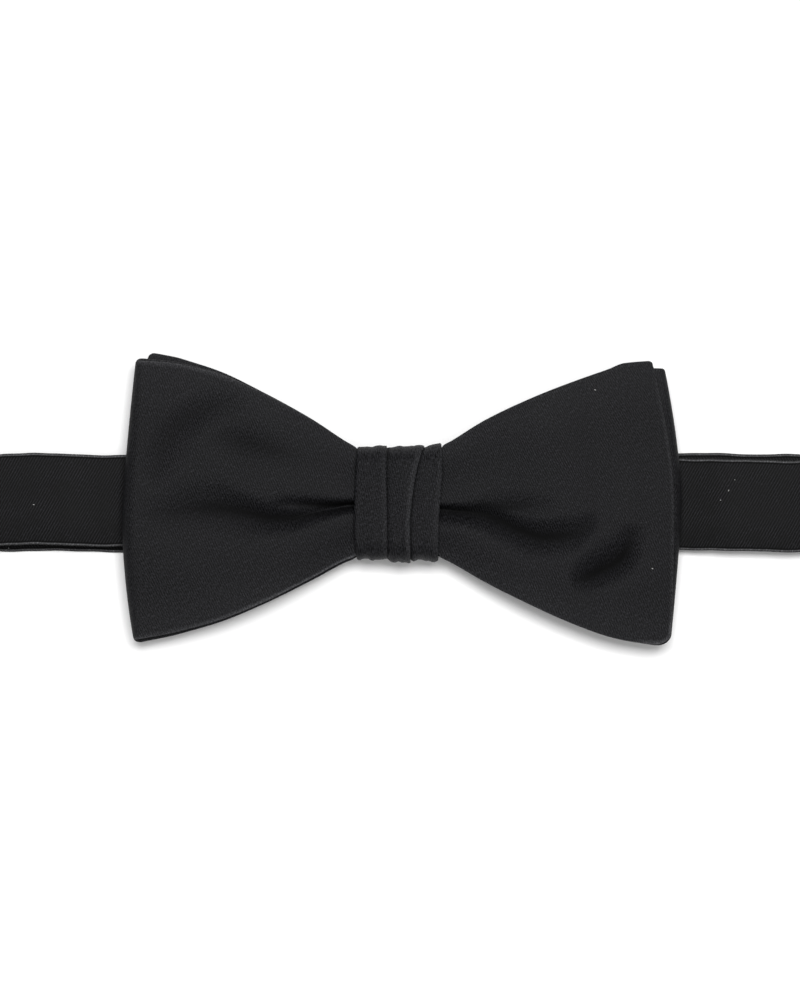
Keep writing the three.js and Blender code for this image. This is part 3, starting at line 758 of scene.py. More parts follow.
def satin(name, colours, line_angle, line_spacing, line_share, line_range, yarn_range, roughness,
          patches, half_width=None):
    """Black satin with diagonal lines at line_angle, in degrees, line_spacing millimetres apart.

    patches is how much the weave fades in places, and half_width is that of a hemmed strap.
    """
    # Colours of the weave, of the painted highlight on edges and of the painted shade in crease bottoms
    dark, light, edge, painted_crease_shade = [linear(colour) for colour in colours]
    material, tree = new_material(name)

    def band(inset, line):
        """1 on a line at a distance from the edge, 0 beside it."""
        away = maths(tree, "ABSOLUTE", maths(tree, "SUBTRACT", inset, line["at"]))
        return map_range(tree, away, line["width"], 0.0)

    def mark(label):
        return add_node(tree, "ShaderNodeAttribute", attribute_name=label).outputs["Fac"]

    place = add_node(tree, "ShaderNodeUVMap", uv_map="cloth").outputs["UV"]
    # rim is where the painted highlight goes and fold where the painted shade goes: from the UV map on a
    # strap, from the marks elsewhere
    if half_width:
        across = add_node(tree, "ShaderNodeSeparateXYZ", {"Vector": place}).outputs["Y"]
        inset = maths(tree, "SUBTRACT", half_width, maths(tree, "ABSOLUTE", across))
        rim, fold = band(inset, HEM_HIGHLIGHT), band(inset, HEM_SEAM_SHADE)
    else:
        rim, fold = mark("edge"), mark("fold")
    turned = add_node(tree, "ShaderNodeMapping", {
        "Vector": place, "Rotation": (0, 0, math.radians(90 - line_angle)),
    }).outputs["Vector"]
    lines = add_node(tree, "ShaderNodeTexWave", {
        "Vector": turned, "Scale": WAVE_PERIOD / line_spacing, "Distortion": 1.4,
        "Detail": 2.0, "Detail Scale": 1.4, "Detail Roughness": 0.6,
    }, bands_direction="X").outputs["Fac"]
    lines = map_range(tree, lines, *line_range)
    stretched = add_node(tree, "ShaderNodeMapping", {
        "Vector": turned, "Scale": (1 / line_spacing, 0.45 / line_spacing, 1),
    }).outputs["Vector"]
    yarns = map_range(tree, noise(tree, stretched, scale=1.9, detail=3.0, roughness=0.8), *yarn_range)
    clouds = noise(tree, place, scale=0.25)
    weave = maths(tree, "MULTIPLY", blend(tree, line_share, yarns, lines),
                  map_range(tree, clouds, 0.35, 0.65, 1 - patches))
    # Painted highlight along the edges, broken up by the yarns
    painted_highlight = maths(tree, "MULTIPLY", rim, map_range(tree, yarns, 0.0, 1.0, 0.35))
    colour = blend(tree, weave, dark, light, "RGBA")
    colour = blend(tree, painted_highlight, colour, edge, "RGBA")
    # Painted shade in crease bottoms, under folds and in the strap's seam, which are also made rough
    colour = blend(tree, fold, colour, painted_crease_shade, "RGBA")
    rough = map_range(tree, clouds, 0.3, 0.7, roughness - 0.02, roughness + 0.02)
    finish_material(tree, {
        "Base Color": colour, "Roughness": blend(tree, fold, rough, 0.9),
        "Normal": bump(tree, weave, strength=0.8, millimetres=0.05), "Specular IOR Level": 0.09,
    })
    return material


# Colour of the painted shade in crease bottoms, under rolled folds and in the strap's seam
CREASE_SHADE_COLOUR = "#080808"
# Each satin's colours: dark and light of the weave, the painted edge highlight, the painted crease shade
bow_satin = satin(
    "black silk satin", ("#000000", "#2c2c2f", "#5c5c5f", CREASE_SHADE_COLOUR),
    line_angle=114, line_spacing=0.5, line_share=0.36,
    line_range=(0.35, 0.85), yarn_range=(0.46, 0.61), roughness=0.58, patches=0.12)
wrap_satin = satin(
    "pleated silk satin", ("#000000", "#2b2b2e", "#5c5c5f", CREASE_SHADE_COLOUR),
    line_angle=103, line_spacing=0.48, line_share=0.25,
    line_range=(0.25, 0.8), yarn_range=(0.45, 0.59), roughness=0.58, patches=0.15)
band_satin = satin(
    "twill satin strap", ("#000000", "#2e2e31", "#78787a", CREASE_SHADE_COLOUR),
    line_angle=61, line_spacing=0.56, line_share=0.6,
    line_range=(0.55, 1.0), yarn_range=(0.52, 0.64), roughness=0.6, patches=0.5,
    half_width=BAND_HALF_WIDTH)


# %% [markdown]
# ## The two strips
#
# With the grid, the cloth and the finish at hand, a strip is one call. The front strip folds at the
# left and ends flat at the right, in front of everything. The back strip goes the other way.

# %% Strips
front_points, front_insets = strip_points(
    FRONT_LOOP_REAR, FRONT_LOOP_FRONT, FRONT_FLAT, LEFT_FOLD, RIGHT_FLAT_END)
back_points, back_insets = strip_points(
    BACK_LOOP_REAR, BACK_LOOP_FRONT, BACK_FLAT, RIGHT_FOLD, LEFT_FLAT_END)
front_bow = cloth_piece("front_bow_cloth", front_points, front_insets, bow_satin)
back_bow = cloth_piece("back_bow_cloth", back_points[:, ::-1], back_insets, bow_satin)

# %% [markdown]
# ## The pleated wrap of the knot
#
# A short band of the same satin is drawn round the middle and sewn shut behind. In front it lies in
# three pleats that overlap like roof tiles: each ends in a rolled fold on its right, and the next one
# comes out from under it. It could be three pieces, but one closed grid has no seams to hide: a
# profile across the wrap, carried round the section of the knot. The pleats stand up in front, less
# on the upper and lower sides, and lie almost flat behind.

# %% Sizes of the wrap
# Where the wrap's left edge and its three folds lie, from its lower to its upper end
WRAP_LINES = table(
    "y, left, first, second, right",
    (-13.5, -9.8, -3.2, 1.8, 7.8),
    (-5.6, -10.5, -3.2, 1.7, 7.9),
    (0.6, -10.4, -3.3, 2.25, 8.3),
    (6.8, -10.1, -3.4, 3.3, 8.7),
    (12.0, -9.7, -3.3, 5.6, 8.4),
)
# Inner side of its section, with the radii of the corners behind and in front
WRAP_INSIDE = {"top": 10.4, "bottom": -12.1, "low": 2.3, "high": 13.05, "back": 1.2, "front": 3.0}
# How far each pleat stands up in front, above, below and behind, and how strong the painted highlight on its
# fold is
PLEATS = table(
    "front, top, bottom, back, pale",
    (1.15, 0.45, 0.1, 0.1, 0.12),
    (1.25, 0.5, 0.9, 0.1, 0.25),
    (0.95, 0.9, 0.45, 0.1, 0.12),
)
# How far above the wrap's back the pleats begin to stand up, and where they do so fully
PLEATS_RISE = (1.0, 5.0)
# Height of a pleat on its way from the fold before it to its own fold, as shares of both
PLEAT_SHAPE = table(
    "across, rise",
    (0.0, -0.05),
    (0.1, 0.2),
    (0.25, 0.42),
    (0.5, 0.66),
    (0.75, 0.86),
    (1.0, 1.0),
)
# A rolled fold: its radius and how far its front drops, as a share of the pleat's height
ROLL = 0.45
ROLL_DROP = 0.42
# How far a pleat starts under the fold before it, and where the last fold turns to the back
TUCKED = 0.35
LAST_TURN = {"back": 0.65 * ROLL, "height": 0.15 * CLOTH}
# How strong the painted shade is where a pleat starts under the fold before it, and the painted highlight on
# its way up to its own fold, in these shares of its width
START_DARK = {"until": 0.1, "dark": 0.8}
END_PALE = {"from": 0.9, "pale": 0.6}
# Distance of points round the wrap's section, and how many a rounded corner has
SECTION_STEP = 0.28
CORNER_POINTS = {"least": 3, "per_mm_of_radius": 6}
# Angles of the rings round the wrap's left edge and round a pleat's rolled fold
LEFT_ANGLES = np.radians([-90, -45, 0, 45])
ROLL_ANGLES = np.radians([65, 40, 15, -15, -40, -60])
PLEAT_RINGS = 14
BACK_RINGS = 7
# The first pleat has no fold before it to lie on, and rises a little by itself
FIRST_RISE = 0.2
WRAP_MIDDLE = -0.9
# How strong the puckers are in front and at the two ends, and over which distances from the middle
# and which levels they grow
PUCKER_SHARE = {"front": 0.25, "top": 0.8, "bottom": 1.7}
PUCKERS_GROW = {"out": (5.0, 11.5), "levels": (WRAP_INSIDE["low"], 6.0)}
# Where the ends get a painted sheen, from which levels up, and how pale it paints the cloth
END_SHEEN = {"top": (8.5, 11.8), "bottom": (10.8, 12.6), "levels": (8.0, 11.0), "pale": 0.35}
# Levels over which the painted highlights and painted shade of the folds appear, and how dark the painted
# shade under a fold is
FOLD_MARKS = {"levels": (6.0, 9.0), "dark": 0.7}
# Lengths of the puckers across and along the wrap, where a wave starts, and how high it is
PUCKERS = table(
    "x_length, y_length, phase, height",
    (4.1, 31.0, 0.6, 0.11),
    (2.3, -14.0, 2.0, 0.07),
    (1.3, 9.0, 4.1, 0.03),
)

# %% Wrap


def wrap_section():
    """Points y, z and outward directions round the inside of the wrap, from its upper corner behind."""
    w = WRAP_INSIDE
    corners = [
        (w["top"] - w["back"], w["low"] + w["back"], w["back"], -90),
        (w["top"] - w["front"], w["high"] - w["front"], w["front"], 0),
        (w["bottom"] + w["front"], w["high"] - w["front"], w["front"], 90),
        (w["bottom"] + w["back"], w["low"] + w["back"], w["back"], 180),
    ]
    rows = []
    for y, z, radius, start in corners:
        parts = CORNER_POINTS["least"] + int(radius * CORNER_POINTS["per_mm_of_radius"])
        angles = np.radians(np.linspace(start, start + 90, parts))
        facing = np.stack([np.cos(angles), np.sin(angles)], axis=-1)
        rows.append(np.concatenate([[y, z] + radius * facing, facing], axis=1))
    section = []
    for arc, following in zip(rows, rows[1:] + rows[:1]):
        gap = np.linalg.norm(following[0, :2] - arc[-1, :2])
        between = np.linspace(arc[-1], following[0], int(gap / SECTION_STEP) + 2)[1:-1]
        section += [arc, between]
    return np.concatenate(section)


def pleat_heights(facing_y, facing_z, z):
    """How far each pleat stands up at every place round the section."""
    forward = smooth_step(*PLEATS_RISE, z - WRAP_INSIDE["low"])
    shares = [np.maximum(facing_z, 0) ** 2, np.maximum(facing_y, 0) ** 2, np.maximum(-facing_y, 0) ** 2]
    heights = []
    for pleat in PLEATS:
        front = sum(share * height for share, height in zip(shares, (pleat.front, pleat.top, pleat.bottom)))
        heights.append(mix(pleat.back, front, forward))
    return heights


def wrap_profile(lines, heights):
    """x and height of every ring, how much painted shade it gets under a fold, and how strong its painted
    highlight is.
    """
    left, first, second, right = lines
    rings = []

    def add(x, height, covered=0, pale=0):
        rings.append(np.broadcast_arrays(left, x, height, covered, pale)[1:])

    for angle in LEFT_ANGLES:
        risen = (1 + np.sin(angle)) / 2
        add(left + ROLL * (1 - np.cos(angle)), risen * (CLOTH + FIRST_RISE * heights[0]))
    starts = (left + ROLL, first, second)
    for number, (start, end, height, pleat) in enumerate(zip(starts, lines[1:], heights, PLEATS)):
        standing = np.minimum(height, 1)
        if number > 0:
            start = start - TUCKED * standing
        for across in np.linspace(0, 1, PLEAT_RINGS):
            rise = column_at(PLEAT_SHAPE, "rise", across)
            if number == 0:
                rise = max(rise, FIRST_RISE * (1.5 - across / 2))
            # Painted shade where a pleat comes out from under the fold before it, painted highlight near its
            # own fold
            under = START_DARK["dark"] if number > 0 and across < START_DARK["until"] else 0
            painted_highlight = END_PALE["pale"] * pleat.pale if across > END_PALE["from"] else 0
            add(mix(start, end - ROLL, across), CLOTH + height * rise, covered=under, pale=painted_highlight)
        # A rolled fold: painted highlight on top of it, painted shade under it
        for angle in ROLL_ANGLES:
            drop = ROLL_DROP * (1 - np.sin(angle))
            back = (1 - np.cos(angle)) * np.where(angle < 0, standing, 1)
            is_under = angle < 0
            add(end - ROLL * back, CLOTH + height * (1 - drop), covered=is_under,
                pale=0 if is_under else pleat.pale)
    add(right - LAST_TURN["back"], LAST_TURN["height"])
    add(right - ROLL, 0)
    for across in np.linspace(0, 1, BACK_RINGS + 2)[1:-1]:
        add(mix(right - ROLL, left + ROLL, across), 0)
    return np.moveaxis(np.array(rings, dtype=float), 0, -1)


def wrap_cloth():
    y, z, facing_y, facing_z = wrap_section().T
    lines = [column_at(WRAP_LINES, name, y) for name in ("left", "first", "second", "right")]
    x, height, covered, pale = wrap_profile(lines, pleat_heights(facing_y, facing_z, z))
    near_end = smooth_step(*PUCKERS_GROW["out"], np.abs(y - WRAP_MIDDLE))
    near_end *= smooth_step(*PUCKERS_GROW["levels"], z)
    # Painted sheen over the wrap's upper and lower ends
    spread = np.maximum(smooth_step(*END_SHEEN["top"], y), smooth_step(*END_SHEEN["bottom"], -y))
    spread *= END_SHEEN["pale"] * smooth_step(*END_SHEEN["levels"], z)
    shown = smooth_step(*FOLD_MARKS["levels"], z)[:, None]
    pucker = sum(
        wave.height * np.sin(2 * np.pi * (x / wave.x_length + y[:, None] / wave.y_length) + wave.phase)
        for wave in PUCKERS)
    strength = np.where(y > 0, PUCKER_SHARE["top"], PUCKER_SHARE["bottom"])
    strength = mix(PUCKER_SHARE["front"], strength, near_end)
    height = height + np.where(height > CLOTH / 2, pucker, 0) * strength[:, None]
    points = np.stack([
        x,
        y[:, None] + facing_y[:, None] * height,
        z[:, None] + facing_z[:, None] * height,
    ], axis=-1)
    rows, rings = x.shape
    index = np.arange(rows * rings).reshape(rows, rings)
    ahead = np.roll(index, -1, axis=0)
    quads = np.stack([index, ahead, np.roll(ahead, -1, axis=1), np.roll(index, -1, axis=1)], axis=-1)
    run = np.concatenate([[0], np.cumsum(np.hypot(np.diff(y), np.diff(z)))])
    uv = np.stack([x, np.broadcast_to(-run[:, None], x.shape)], axis=-1)
    # edge holds the painted sheen of the ends and the painted fold highlights, fold the painted shade under
    # the folds
    marks = {
        "edge": np.maximum(spread[:, None] * (height > CLOTH / 2), shown * pale).ravel(),
        "fold": (FOLD_MARKS["dark"] * shown * covered).ravel(),
    }
    print("knot wrap", rows * rings * 2, "triangles,", round(run[-1], 1), "mm round")
    return mesh_piece(
        "knot_wrap_cloth", points.reshape(-1, 3), quads.reshape(-1, 4), uv.reshape(-1, 2), marks, wrap_satin)


knot_wrap = wrap_cloth()

# %% [markdown]
# ## The neckband
#
# The band is a strap 20 mm wide that goes from the slide round the neck, through the knot and back.
# Laid flat, it is a long loop. Its route is a curve, and Geometry Nodes sweep the strap's section
# along it, so the width, the thickness and the step are three numbers on a modifier. Along and
# across are kept as attributes on the way, which gives the weave its UV map.

# %% Route of the neckband
# Half the thickness of the strap's solid
HALF_STRAP = 0.5
# Levels of the strap's middle: the rear strand, and the upper one in the knot, behind a wing and at
# the loop's ends
STRAND = {"rear": 0.5, "knot": 3.1, "wing": 4.2, "end": 6.1}
# How far the loop reaches, where the upper strand rises to its end, and where the strands' lines meet
BAND_REACH = 98.0
BAND_OPENS = (58.0, 74.0)
TURNS_FROM = 80.0
CLASP = {"x": 37.0, "bar_reach": 6.0, "pocket": 1.3}
# How far from a bend the straight runs stop, and how far apart their points are
RUN_GAP = {"slide": 8.0, "rear": 6.0, "upper": 4.0}
RUN_STEP = {"rear": 4.0, "upper": 1.5}
# y of the middles of the upper strand ("front") and the rear strand along the band
BAND_LINES = table(
    "x, front, rear",
    (-95.0, -0.6, -0.6),
    (-86.0, 0.05, -1.35),
    (-74.0, 0.0, -1.25),
    (-63.0, -0.25, -1.6),
    (0.0, -0.7, -0.7),
    (62.0, -1.0, 0.15),
    (74.0, -1.3, 0.1),
    (86.0, -1.5, 0.0),
    (95.0, -0.8, -0.8),
)
# The band's tails, folded back over the bars of the slide: distance from the bar, and lift over the
# band. The last lift brings a tail to the level of its bend.
TAIL = table("back, lift", (18.0, 0.0), (10.0, 0.0), (6.0, 0.4), (2.6, 1.0))
END_RADIUS = (STRAND["end"] - STRAND["rear"]) / 2
END_X = BAND_REACH - HALF_STRAP - END_RADIUS
TAIL_RADIUS = CLASP["pocket"] / 2 + HALF_STRAP
TAIL_LEVEL = STRAND["rear"] + PLY_STEP


def turn(x, z, radius, start, end, parts):
    angles = np.radians(np.linspace(start, end, parts))
    return np.stack([x + radius * np.cos(angles), z + radius * np.sin(angles)], axis=-1)


def level_run(start, end, step, level):
    xs = np.linspace(start, end, max(2, int(abs(end - start) / step)))
    return np.stack([xs, level(xs) if callable(level) else np.full(len(xs), level)], axis=-1)


def strand_level(x):
    """Level of the upper strand: low in the knot, and lifted again where the wings end."""
    in_bow = mix(STRAND["wing"], STRAND["knot"], pinch(x))
    return mix(in_bow, STRAND["end"], smooth_step(*BAND_OPENS, np.abs(x)))


def tail_run(bar, side):
    fine = np.linspace(TAIL.back[0], TAIL.back[-1], 20)
    lift = along(TAIL.back[::-1], TAIL.lift[::-1], fine)
    return np.stack([bar + side * fine, TAIL_LEVEL + lift], axis=-1)


def band_route():
    """Middle of the band in millimetres, from one tail to the other."""
    left_bar = CLASP["x"] - CLASP["bar_reach"] + HALF_STRAP
    right_bar = CLASP["x"] + CLASP["bar_reach"] - HALF_STRAP
    rear = STRAND["rear"]
    rear_end, upper_end = END_X - RUN_GAP["rear"], END_X - RUN_GAP["upper"]
    route = np.concatenate([
        tail_run(left_bar, -1),
        turn(left_bar, rear + TAIL_RADIUS, TAIL_RADIUS, 90, -90, parts=12),
        level_run(left_bar - RUN_GAP["slide"], -rear_end, RUN_STEP["rear"], rear),
        turn(-END_X, rear + END_RADIUS, END_RADIUS, -90, -270, parts=20),
        level_run(-upper_end, upper_end, RUN_STEP["upper"], strand_level),
        turn(END_X, rear + END_RADIUS, END_RADIUS, 90, -90, parts=20),
        level_run(rear_end, right_bar + RUN_GAP["slide"], RUN_STEP["rear"], rear),
        turn(right_bar, rear + TAIL_RADIUS, TAIL_RADIUS, 270, 90, parts=12),
        tail_run(right_bar, 1)[::-1],
    ])
    x, z = route.T
    # In the knot the upper strand is down to a little below the middle of the bends
    is_upper = (z > rear + END_RADIUS - 0.2).astype(float)
    past_bow = smooth_step(rear, STRAND["end"], z)
    share = np.where(np.abs(x) > TURNS_FROM, past_bow, is_upper)
    y = mix(column_at(BAND_LINES, "rear", x), column_at(BAND_LINES, "front", x), share)
    return np.stack([x, y, z], axis=-1)


route = band_route()
route_length = np.linalg.norm(np.diff(route, axis=0), axis=1).sum()
print("neckband", len(route), "points,", round(route_length, 1), "mm long")

# %% [markdown]
# ## Sweeping the strap
#
# A node tree is made in code like a mesh. `new_tree` names its inputs, and `nodes_to_mesh` sets them
# on a modifier by their identifiers, evaluates it once and keeps the plain mesh that comes out.

# %% Node trees to meshes


def new_tree(name, inputs):
    """Geometry node tree with named inputs, given as name: (socket type, value)."""
    tree = bpy.data.node_groups.new(name, "GeometryNodeTree")
    tree.interface.new_socket("Geometry", in_out="INPUT", socket_type="NodeSocketGeometry")
    for label, (kind, value) in inputs.items():
        socket = tree.interface.new_socket(label, in_out="INPUT", socket_type="NodeSocket" + kind)
        if value is not None:
            socket.default_value = value
    tree.interface.new_socket("Geometry", in_out="OUTPUT", socket_type="NodeSocketGeometry")
    return tree, add_node(tree, "NodeGroupInput").outputs


def finish_tree(tree, geometry, material):
    """The end of every tree: real geometry and its material."""
    real = add_node(tree, "GeometryNodeRealizeInstances", {"Geometry": geometry}).outputs["Geometry"]
    real = add_node(tree, "GeometryNodeSetMaterial", {"Geometry": real, "Material": material})
    output = add_node(tree, "NodeGroupOutput")
    tree.links.new(real.outputs["Geometry"], output.inputs["Geometry"])


def nodes_to_mesh(name, source, tree, values):
    """Plain mesh object from a tree run on a source object, which is removed afterwards."""
    modifier = source.modifiers.new("nodes", "NODES")
    modifier.node_group = tree
    for socket in tree.interface.items_tree:
        if socket.in_out == "INPUT" and socket.name in values:
            modifier[socket.identifier] = values[socket.name]
    graph = bpy.context.evaluated_depsgraph_get()
    mesh = bpy.data.meshes.new_from_object(source.evaluated_get(graph))
    piece = new_object(name, mesh)
    bpy.data.objects.remove(source)
    mesh.shade_smooth()
    mesh.calc_loop_triangles()
    print(name, len(mesh.loop_triangles), "triangles")
    return piece


def path_object(points):
    """Curve object through points given in millimetres."""
    curve = bpy.data.curves.new("path", "CURVE")
    curve.dimensions = "3D"
    spline = curve.splines.new("POLY")
    spline.points.add(len(points) - 1)
    spline.points.foreach_set("co", np.hstack([points * MM, np.ones((len(points), 1))]).ravel())
    return new_object("path", curve)


# %% Strap tree
# Radius of a strap's edges, as a share of its thickness
STRAP_ROUND = 0.45


def strap_tree():
    tree, given = new_tree("strap along a path", {
        "Width": ("Float", 0.02), "Thickness": ("Float", 0.0009), "Step": ("Float", 0.0008),
        "Waviness": ("Float", 0.0001), "Waves per Metre": ("Float", 90.0),
        "Material": ("Material", None),
    })

    def keep(geometry, label, value, kind="FLOAT", domain="POINT"):
        return add_node(tree, "GeometryNodeStoreNamedAttribute", {
            "Geometry": geometry, "Name": label, "Value": value,
        }, data_type=kind, domain=domain).outputs["Geometry"]

    def read(label):
        return add_node(tree, "GeometryNodeInputNamedAttribute", {"Name": label}).outputs["Attribute"]

    path = add_node(tree, "GeometryNodeResampleCurve", {
        "Curve": given["Geometry"], "Length": given["Step"],
    }, mode="LENGTH").outputs["Curve"]
    path = add_node(tree, "GeometryNodeSetCurveNormal", {
        "Curve": path, "Normal": (0, 1, 0),
    }, mode="FREE").outputs["Curve"]
    path = keep(path, "along", add_node(tree, "GeometryNodeSplineParameter").outputs["Length"])
    section = add_node(tree, "GeometryNodeCurvePrimitiveQuadrilateral", {
        "Width": given["Width"], "Height": given["Thickness"],
    }).outputs["Curve"]
    section = add_node(tree, "GeometryNodeFilletCurve", {
        "Curve": section, "Radius": maths(tree, "MULTIPLY", given["Thickness"], STRAP_ROUND), "Count": 3,
    }, mode="POLY").outputs["Curve"]
    section = add_node(tree, "GeometryNodeSubdivideCurve", {"Curve": section, "Cuts": 2}).outputs["Curve"]
    where = add_node(tree, "GeometryNodeInputPosition").outputs["Position"]
    side = add_node(tree, "ShaderNodeSeparateXYZ", {"Vector": where}).outputs["X"]
    section = keep(section, "across", side)
    strap = add_node(tree, "GeometryNodeCurveToMesh", {
        "Curve": path, "Profile Curve": section, "Fill Caps": True,
    }).outputs["Mesh"]
    metres_to_mm = 1 / MM
    place = add_node(tree, "ShaderNodeCombineXYZ", {
        "X": maths(tree, "MULTIPLY", read("along"), metres_to_mm),
        "Y": maths(tree, "MULTIPLY", read("across"), metres_to_mm),
    }).outputs["Vector"]
    strap = keep(strap, "cloth", place, kind="FLOAT2", domain="CORNER")
    waver = add_node(tree, "ShaderNodeTexNoise", {
        "W": read("along"), "Scale": given["Waves per Metre"], "Detail": 1.0,
    }, noise_dimensions="1D").outputs["Fac"]
    sway = maths(tree, "MULTIPLY", maths(tree, "SUBTRACT", waver, 0.5), given["Waviness"])
    offset = add_node(tree, "ShaderNodeCombineXYZ", {"Y": sway}).outputs["Vector"]
    strap = add_node(tree, "GeometryNodeSetPosition", {"Geometry": strap, "Offset": offset})
    finish_tree(tree, strap.outputs["Geometry"], given["Material"])
    return tree


neckband = nodes_to_mesh("neckband_strap", path_object(route), strap_tree(), {
    "Width": 2 * BAND_HALF_WIDTH * MM, "Thickness": CLOTH * MM, "Step": 0.8 * MM,
    "Waviness": 0.6 * MM, "Waves per Metre": 90.0, "Material": band_satin,
})

# %% [markdown]
# ## Lint
#
# Black satin shows every speck of lint, and the photograph has a few. A second tree scatters short
# rolled-up fibres on the faces that look up. The seed is fixed, so they lie in the same places every time.

# %% Lint
FIBRE_RADIUS = 0.11
# The smallest and the largest fibre, as shares of that radius along, across and up
FIBRE_SIZES = ((0.6, 0.5, 0.5), (2.0, 1.0, 0.8))
# A face looks up when its normal's Z is above this
LOOKS_UP = 0.95


def cotton():
    """Cotton fluff: dull off-white that varies from fibre to fibre."""
    material, tree = new_material("cotton lint")
    place = add_node(tree, "ShaderNodeTexCoord").outputs["Object"]
    shade = noise(tree, place, scale=1 / (3 * MM))
    colour = blend(tree, shade, linear("#77777a"), linear("#dcdcd8"), "RGBA")
    finish_material(tree, {"Base Color": colour, "Roughness": 0.95})
    return material


def lint_tree():
    tree, given = new_tree("lint on cloth", {
        "Density": ("Float", 1000.0), "Size": ("Float", 0.0001), "Seed": ("Int", 1),
        "Material": ("Material", None),
    })
    normal = add_node(tree, "GeometryNodeInputNormal").outputs["Normal"]
    up = add_node(tree, "ShaderNodeSeparateXYZ", {"Vector": normal}).outputs["Z"]
    faces_up = add_node(tree, "FunctionNodeCompare", {0: up, 1: LOOKS_UP}, operation="GREATER_THAN")
    places = add_node(tree, "GeometryNodeDistributePointsOnFaces", {
        "Mesh": given["Geometry"], "Selection": faces_up.outputs["Result"],
        "Density": given["Density"], "Seed": given["Seed"],
    }).outputs["Points"]
    fibre = add_node(tree, "GeometryNodeMeshIcoSphere", {
        "Radius": given["Size"], "Subdivisions": 2,
    }).outputs["Mesh"]
    size = add_node(tree, "FunctionNodeRandomValue", {
        0: FIBRE_SIZES[0], 1: FIBRE_SIZES[1], "Seed": given["Seed"],
    }, data_type="FLOAT_VECTOR").outputs[0]
    turned = add_node(tree, "FunctionNodeRandomValue", {
        0: (0.0, 0.0, 0.0), 1: (0.0, 0.0, math.pi), "Seed": given["Seed"],
    }, data_type="FLOAT_VECTOR").outputs[0]
    fibres = add_node(tree, "GeometryNodeInstanceOnPoints", {
        "Points": places, "Instance": fibre, "Rotation": turned, "Scale": size,
    }).outputs["Instances"]
    finish_tree(tree, fibres, given["Material"])
    return tree


def lint_on(piece, name, density, seed):
    return nodes_to_mesh(name, new_object("source", piece.data), scatter, {
        "Density": density, "Size": FIBRE_RADIUS * MM, "Seed": seed, "Material": lint_white,
    })


scatter = lint_tree()
lint_white = cotton()
band_lint = lint_on(neckband, "band_lint", density=6000.0, seed=4)
bow_lint = lint_on(front_bow, "bow_lint", density=250.0, seed=2)

# %% [markdown]
# ## The slide
#
# The hidden slide that closes the band is stamped from steel sheet and nickel plated. Its solid in
# the frame already has the right shape, but knife-sharp edges. A merged copy gets a small bevel, as
# the tumbling before plating leaves one, and bare metal with fine, random scratches.

# %% Slide
SLIDE_BEVEL = 0.15
# Vertices this near are one, and faces that differ by less than this many degrees are too
SAME_POINT = 0.01
SAME_PLANE = 1.0


def nickel():
    """Nickel-plated steel: warm grey metal, polished by tumbling, which leaves fine random marks."""
    material, tree = new_material("nickel-plated steel")
    place = add_node(tree, "ShaderNodeTexCoord").outputs["Object"]
    marks = noise(tree, place, scale=1 / (0.6 * MM), detail=4.0, roughness=0.7)
    finish_material(tree, {
        "Base Color": blend(tree, marks, linear("#a8a6a0"), linear("#bdbab2"), "RGBA"),
        "Roughness": map_range(tree, marks, 0.3, 0.7, 0.24, 0.36),
        "Normal": bump(tree, marks, strength=0.15, millimetres=0.02), "Metallic": 1.0,
    })
    return material


def merged_copy(node, name, material):
    """Copy of a frame solid with its vertices merged, ready for a bevel."""
    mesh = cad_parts[node].data.copy()
    shape = bmesh.new()
    shape.from_mesh(mesh)
    bmesh.ops.remove_doubles(shape, verts=shape.verts, dist=SAME_POINT * MM)
    bmesh.ops.dissolve_limit(
        shape, angle_limit=math.radians(SAME_PLANE), verts=shape.verts, edges=shape.edges)
    shape.to_mesh(mesh)
    shape.free()
    mesh.materials.clear()
    mesh.materials.append(material)
    return new_object(name, mesh)


slide = merged_copy("neck_clasp", "neck_clasp_slide", nickel())
bevel = slide.modifiers.new("bevel", "BEVEL")
bevel.width = SLIDE_BEVEL * MM
bevel.segments = 2
bevel.limit_method = "ANGLE"
print("slide", len(slide.data.polygons), "faces before the bevel")

# %% [markdown]
# ## Stage, camera and light
#
# The tie lies on a white table. The camera looks straight down from about a metre, with a long lens,
# so the bow's depth hardly changes its outline. The stronger softbox stands high beyond the upper
# edge of the bow, a weaker one hangs over it, and a white room fills in. That leaves a soft shadow
# below the wings.

# %% Stage, camera and lights
# The picture's height and centre, at the level of the wings, and the camera's lens and sensor
WING_LEVEL = 13.0
PHOTO_HEIGHT = 216.6
VIEW_CENTRE = (-0.5, -0.1)
LENS = 150.0
SENSOR = 36.0
FLOOR_METRES = 6.0
ROOM_LIGHT = 0.24

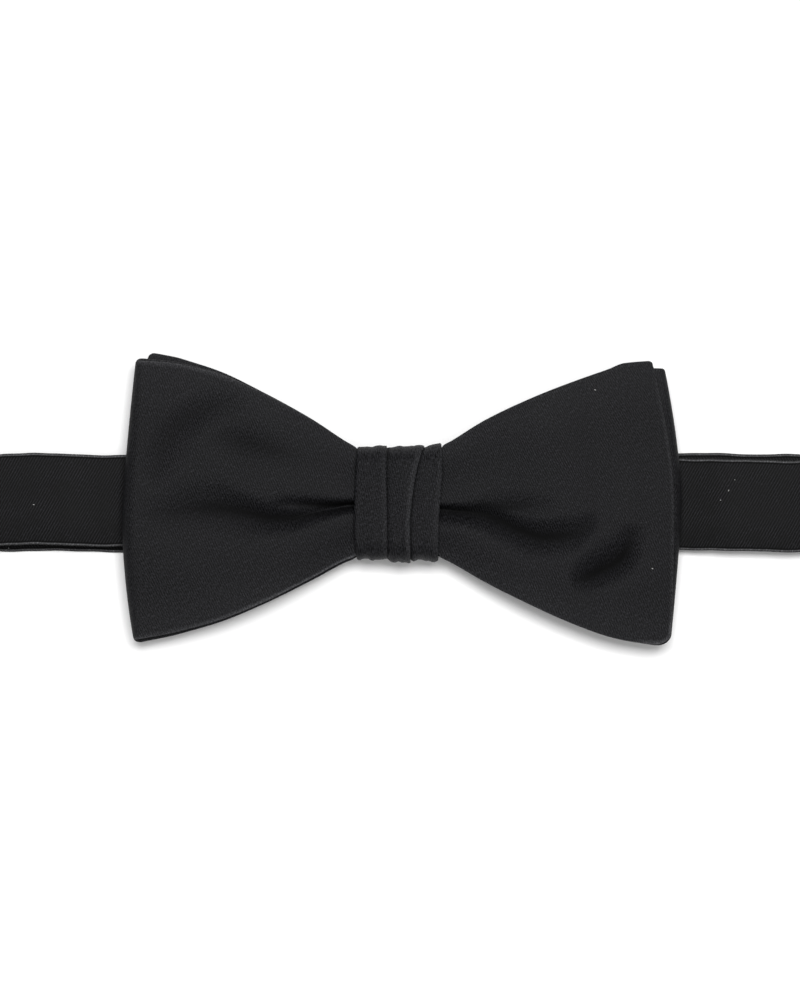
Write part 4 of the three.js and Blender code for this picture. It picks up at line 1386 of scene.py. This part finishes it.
bpy.ops.mesh.primitive_plane_add(size=FLOOR_METRES)
floor = bpy.context.object
floor.name = "floor"
floor_material, floor_tree = new_material("white table")
finish_material(floor_tree, {
    "Base Color": linear("#fcfcfc"), "Roughness": 0.9, "Specular IOR Level": 0.0,
})
floor.data.materials.append(floor_material)

camera_data = bpy.data.cameras.new("camera")
camera_data.lens = LENS
camera_data.sensor_width = SENSOR
camera_data.clip_start = 0.01
camera = new_object("camera", camera_data)
camera.location = np.array([*VIEW_CENTRE, WING_LEVEL + PHOTO_HEIGHT * LENS / SENSOR]) * MM
bpy.context.scene.camera = camera


def softbox(name, azimuth, elevation, width, height, watts, distance=1.3):
    """Rectangular lamp that faces the tie; azimuth 0 is the +Y side, elevation is above the table."""
    data = bpy.data.lights.new(name, "AREA")
    data.shape = "RECTANGLE"
    data.size = width
    data.size_y = height
    data.energy = watts
    lamp = new_object(name, data)
    a, e = math.radians(azimuth), math.radians(elevation)
    direction = np.array([math.sin(a) * math.cos(e), math.cos(a) * math.cos(e), math.sin(e)])
    lamp.location = direction * distance
    lamp.rotation_euler = (-(math.pi / 2 - e), 0, -a)


softbox("overhead softbox", azimuth=150, elevation=80, width=0.8, height=0.7, watts=3.5)
softbox("key softbox", azimuth=10, elevation=79, width=0.5, height=0.3, watts=14.5)
world = bpy.data.worlds.new("white room")
bpy.context.scene.world = world
world.use_nodes = True
background = world.node_tree.nodes["Background"]
background.inputs["Color"].default_value = (1, 1, 1, 1)
background.inputs["Strength"].default_value = ROOM_LIGHT
bpy.context.scene.view_settings.view_transform = "Standard"

# %% [markdown]
# ## What each mesh stands for
#
# The last cell ties the meshes to the frame: the body that carries each one, and the solid it takes the
# place of, which is hidden.

# %% Frame calls
for piece, node, slot_name in [
    (front_bow, "front_bow", "bow_satin"),
    (back_bow, "back_bow", "bow_satin"),
    (knot_wrap, "knot_wrap", "wrap_satin"),
    (neckband, "neckband", "band_satin"),
    (slide, "neck_clasp", "clasp_steel"),
]:
    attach(piece, "root")
    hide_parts(node)
for piece, slot_name in [(band_lint, "band_satin"), (bow_lint, "bow_satin")]:
    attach(piece, "root")
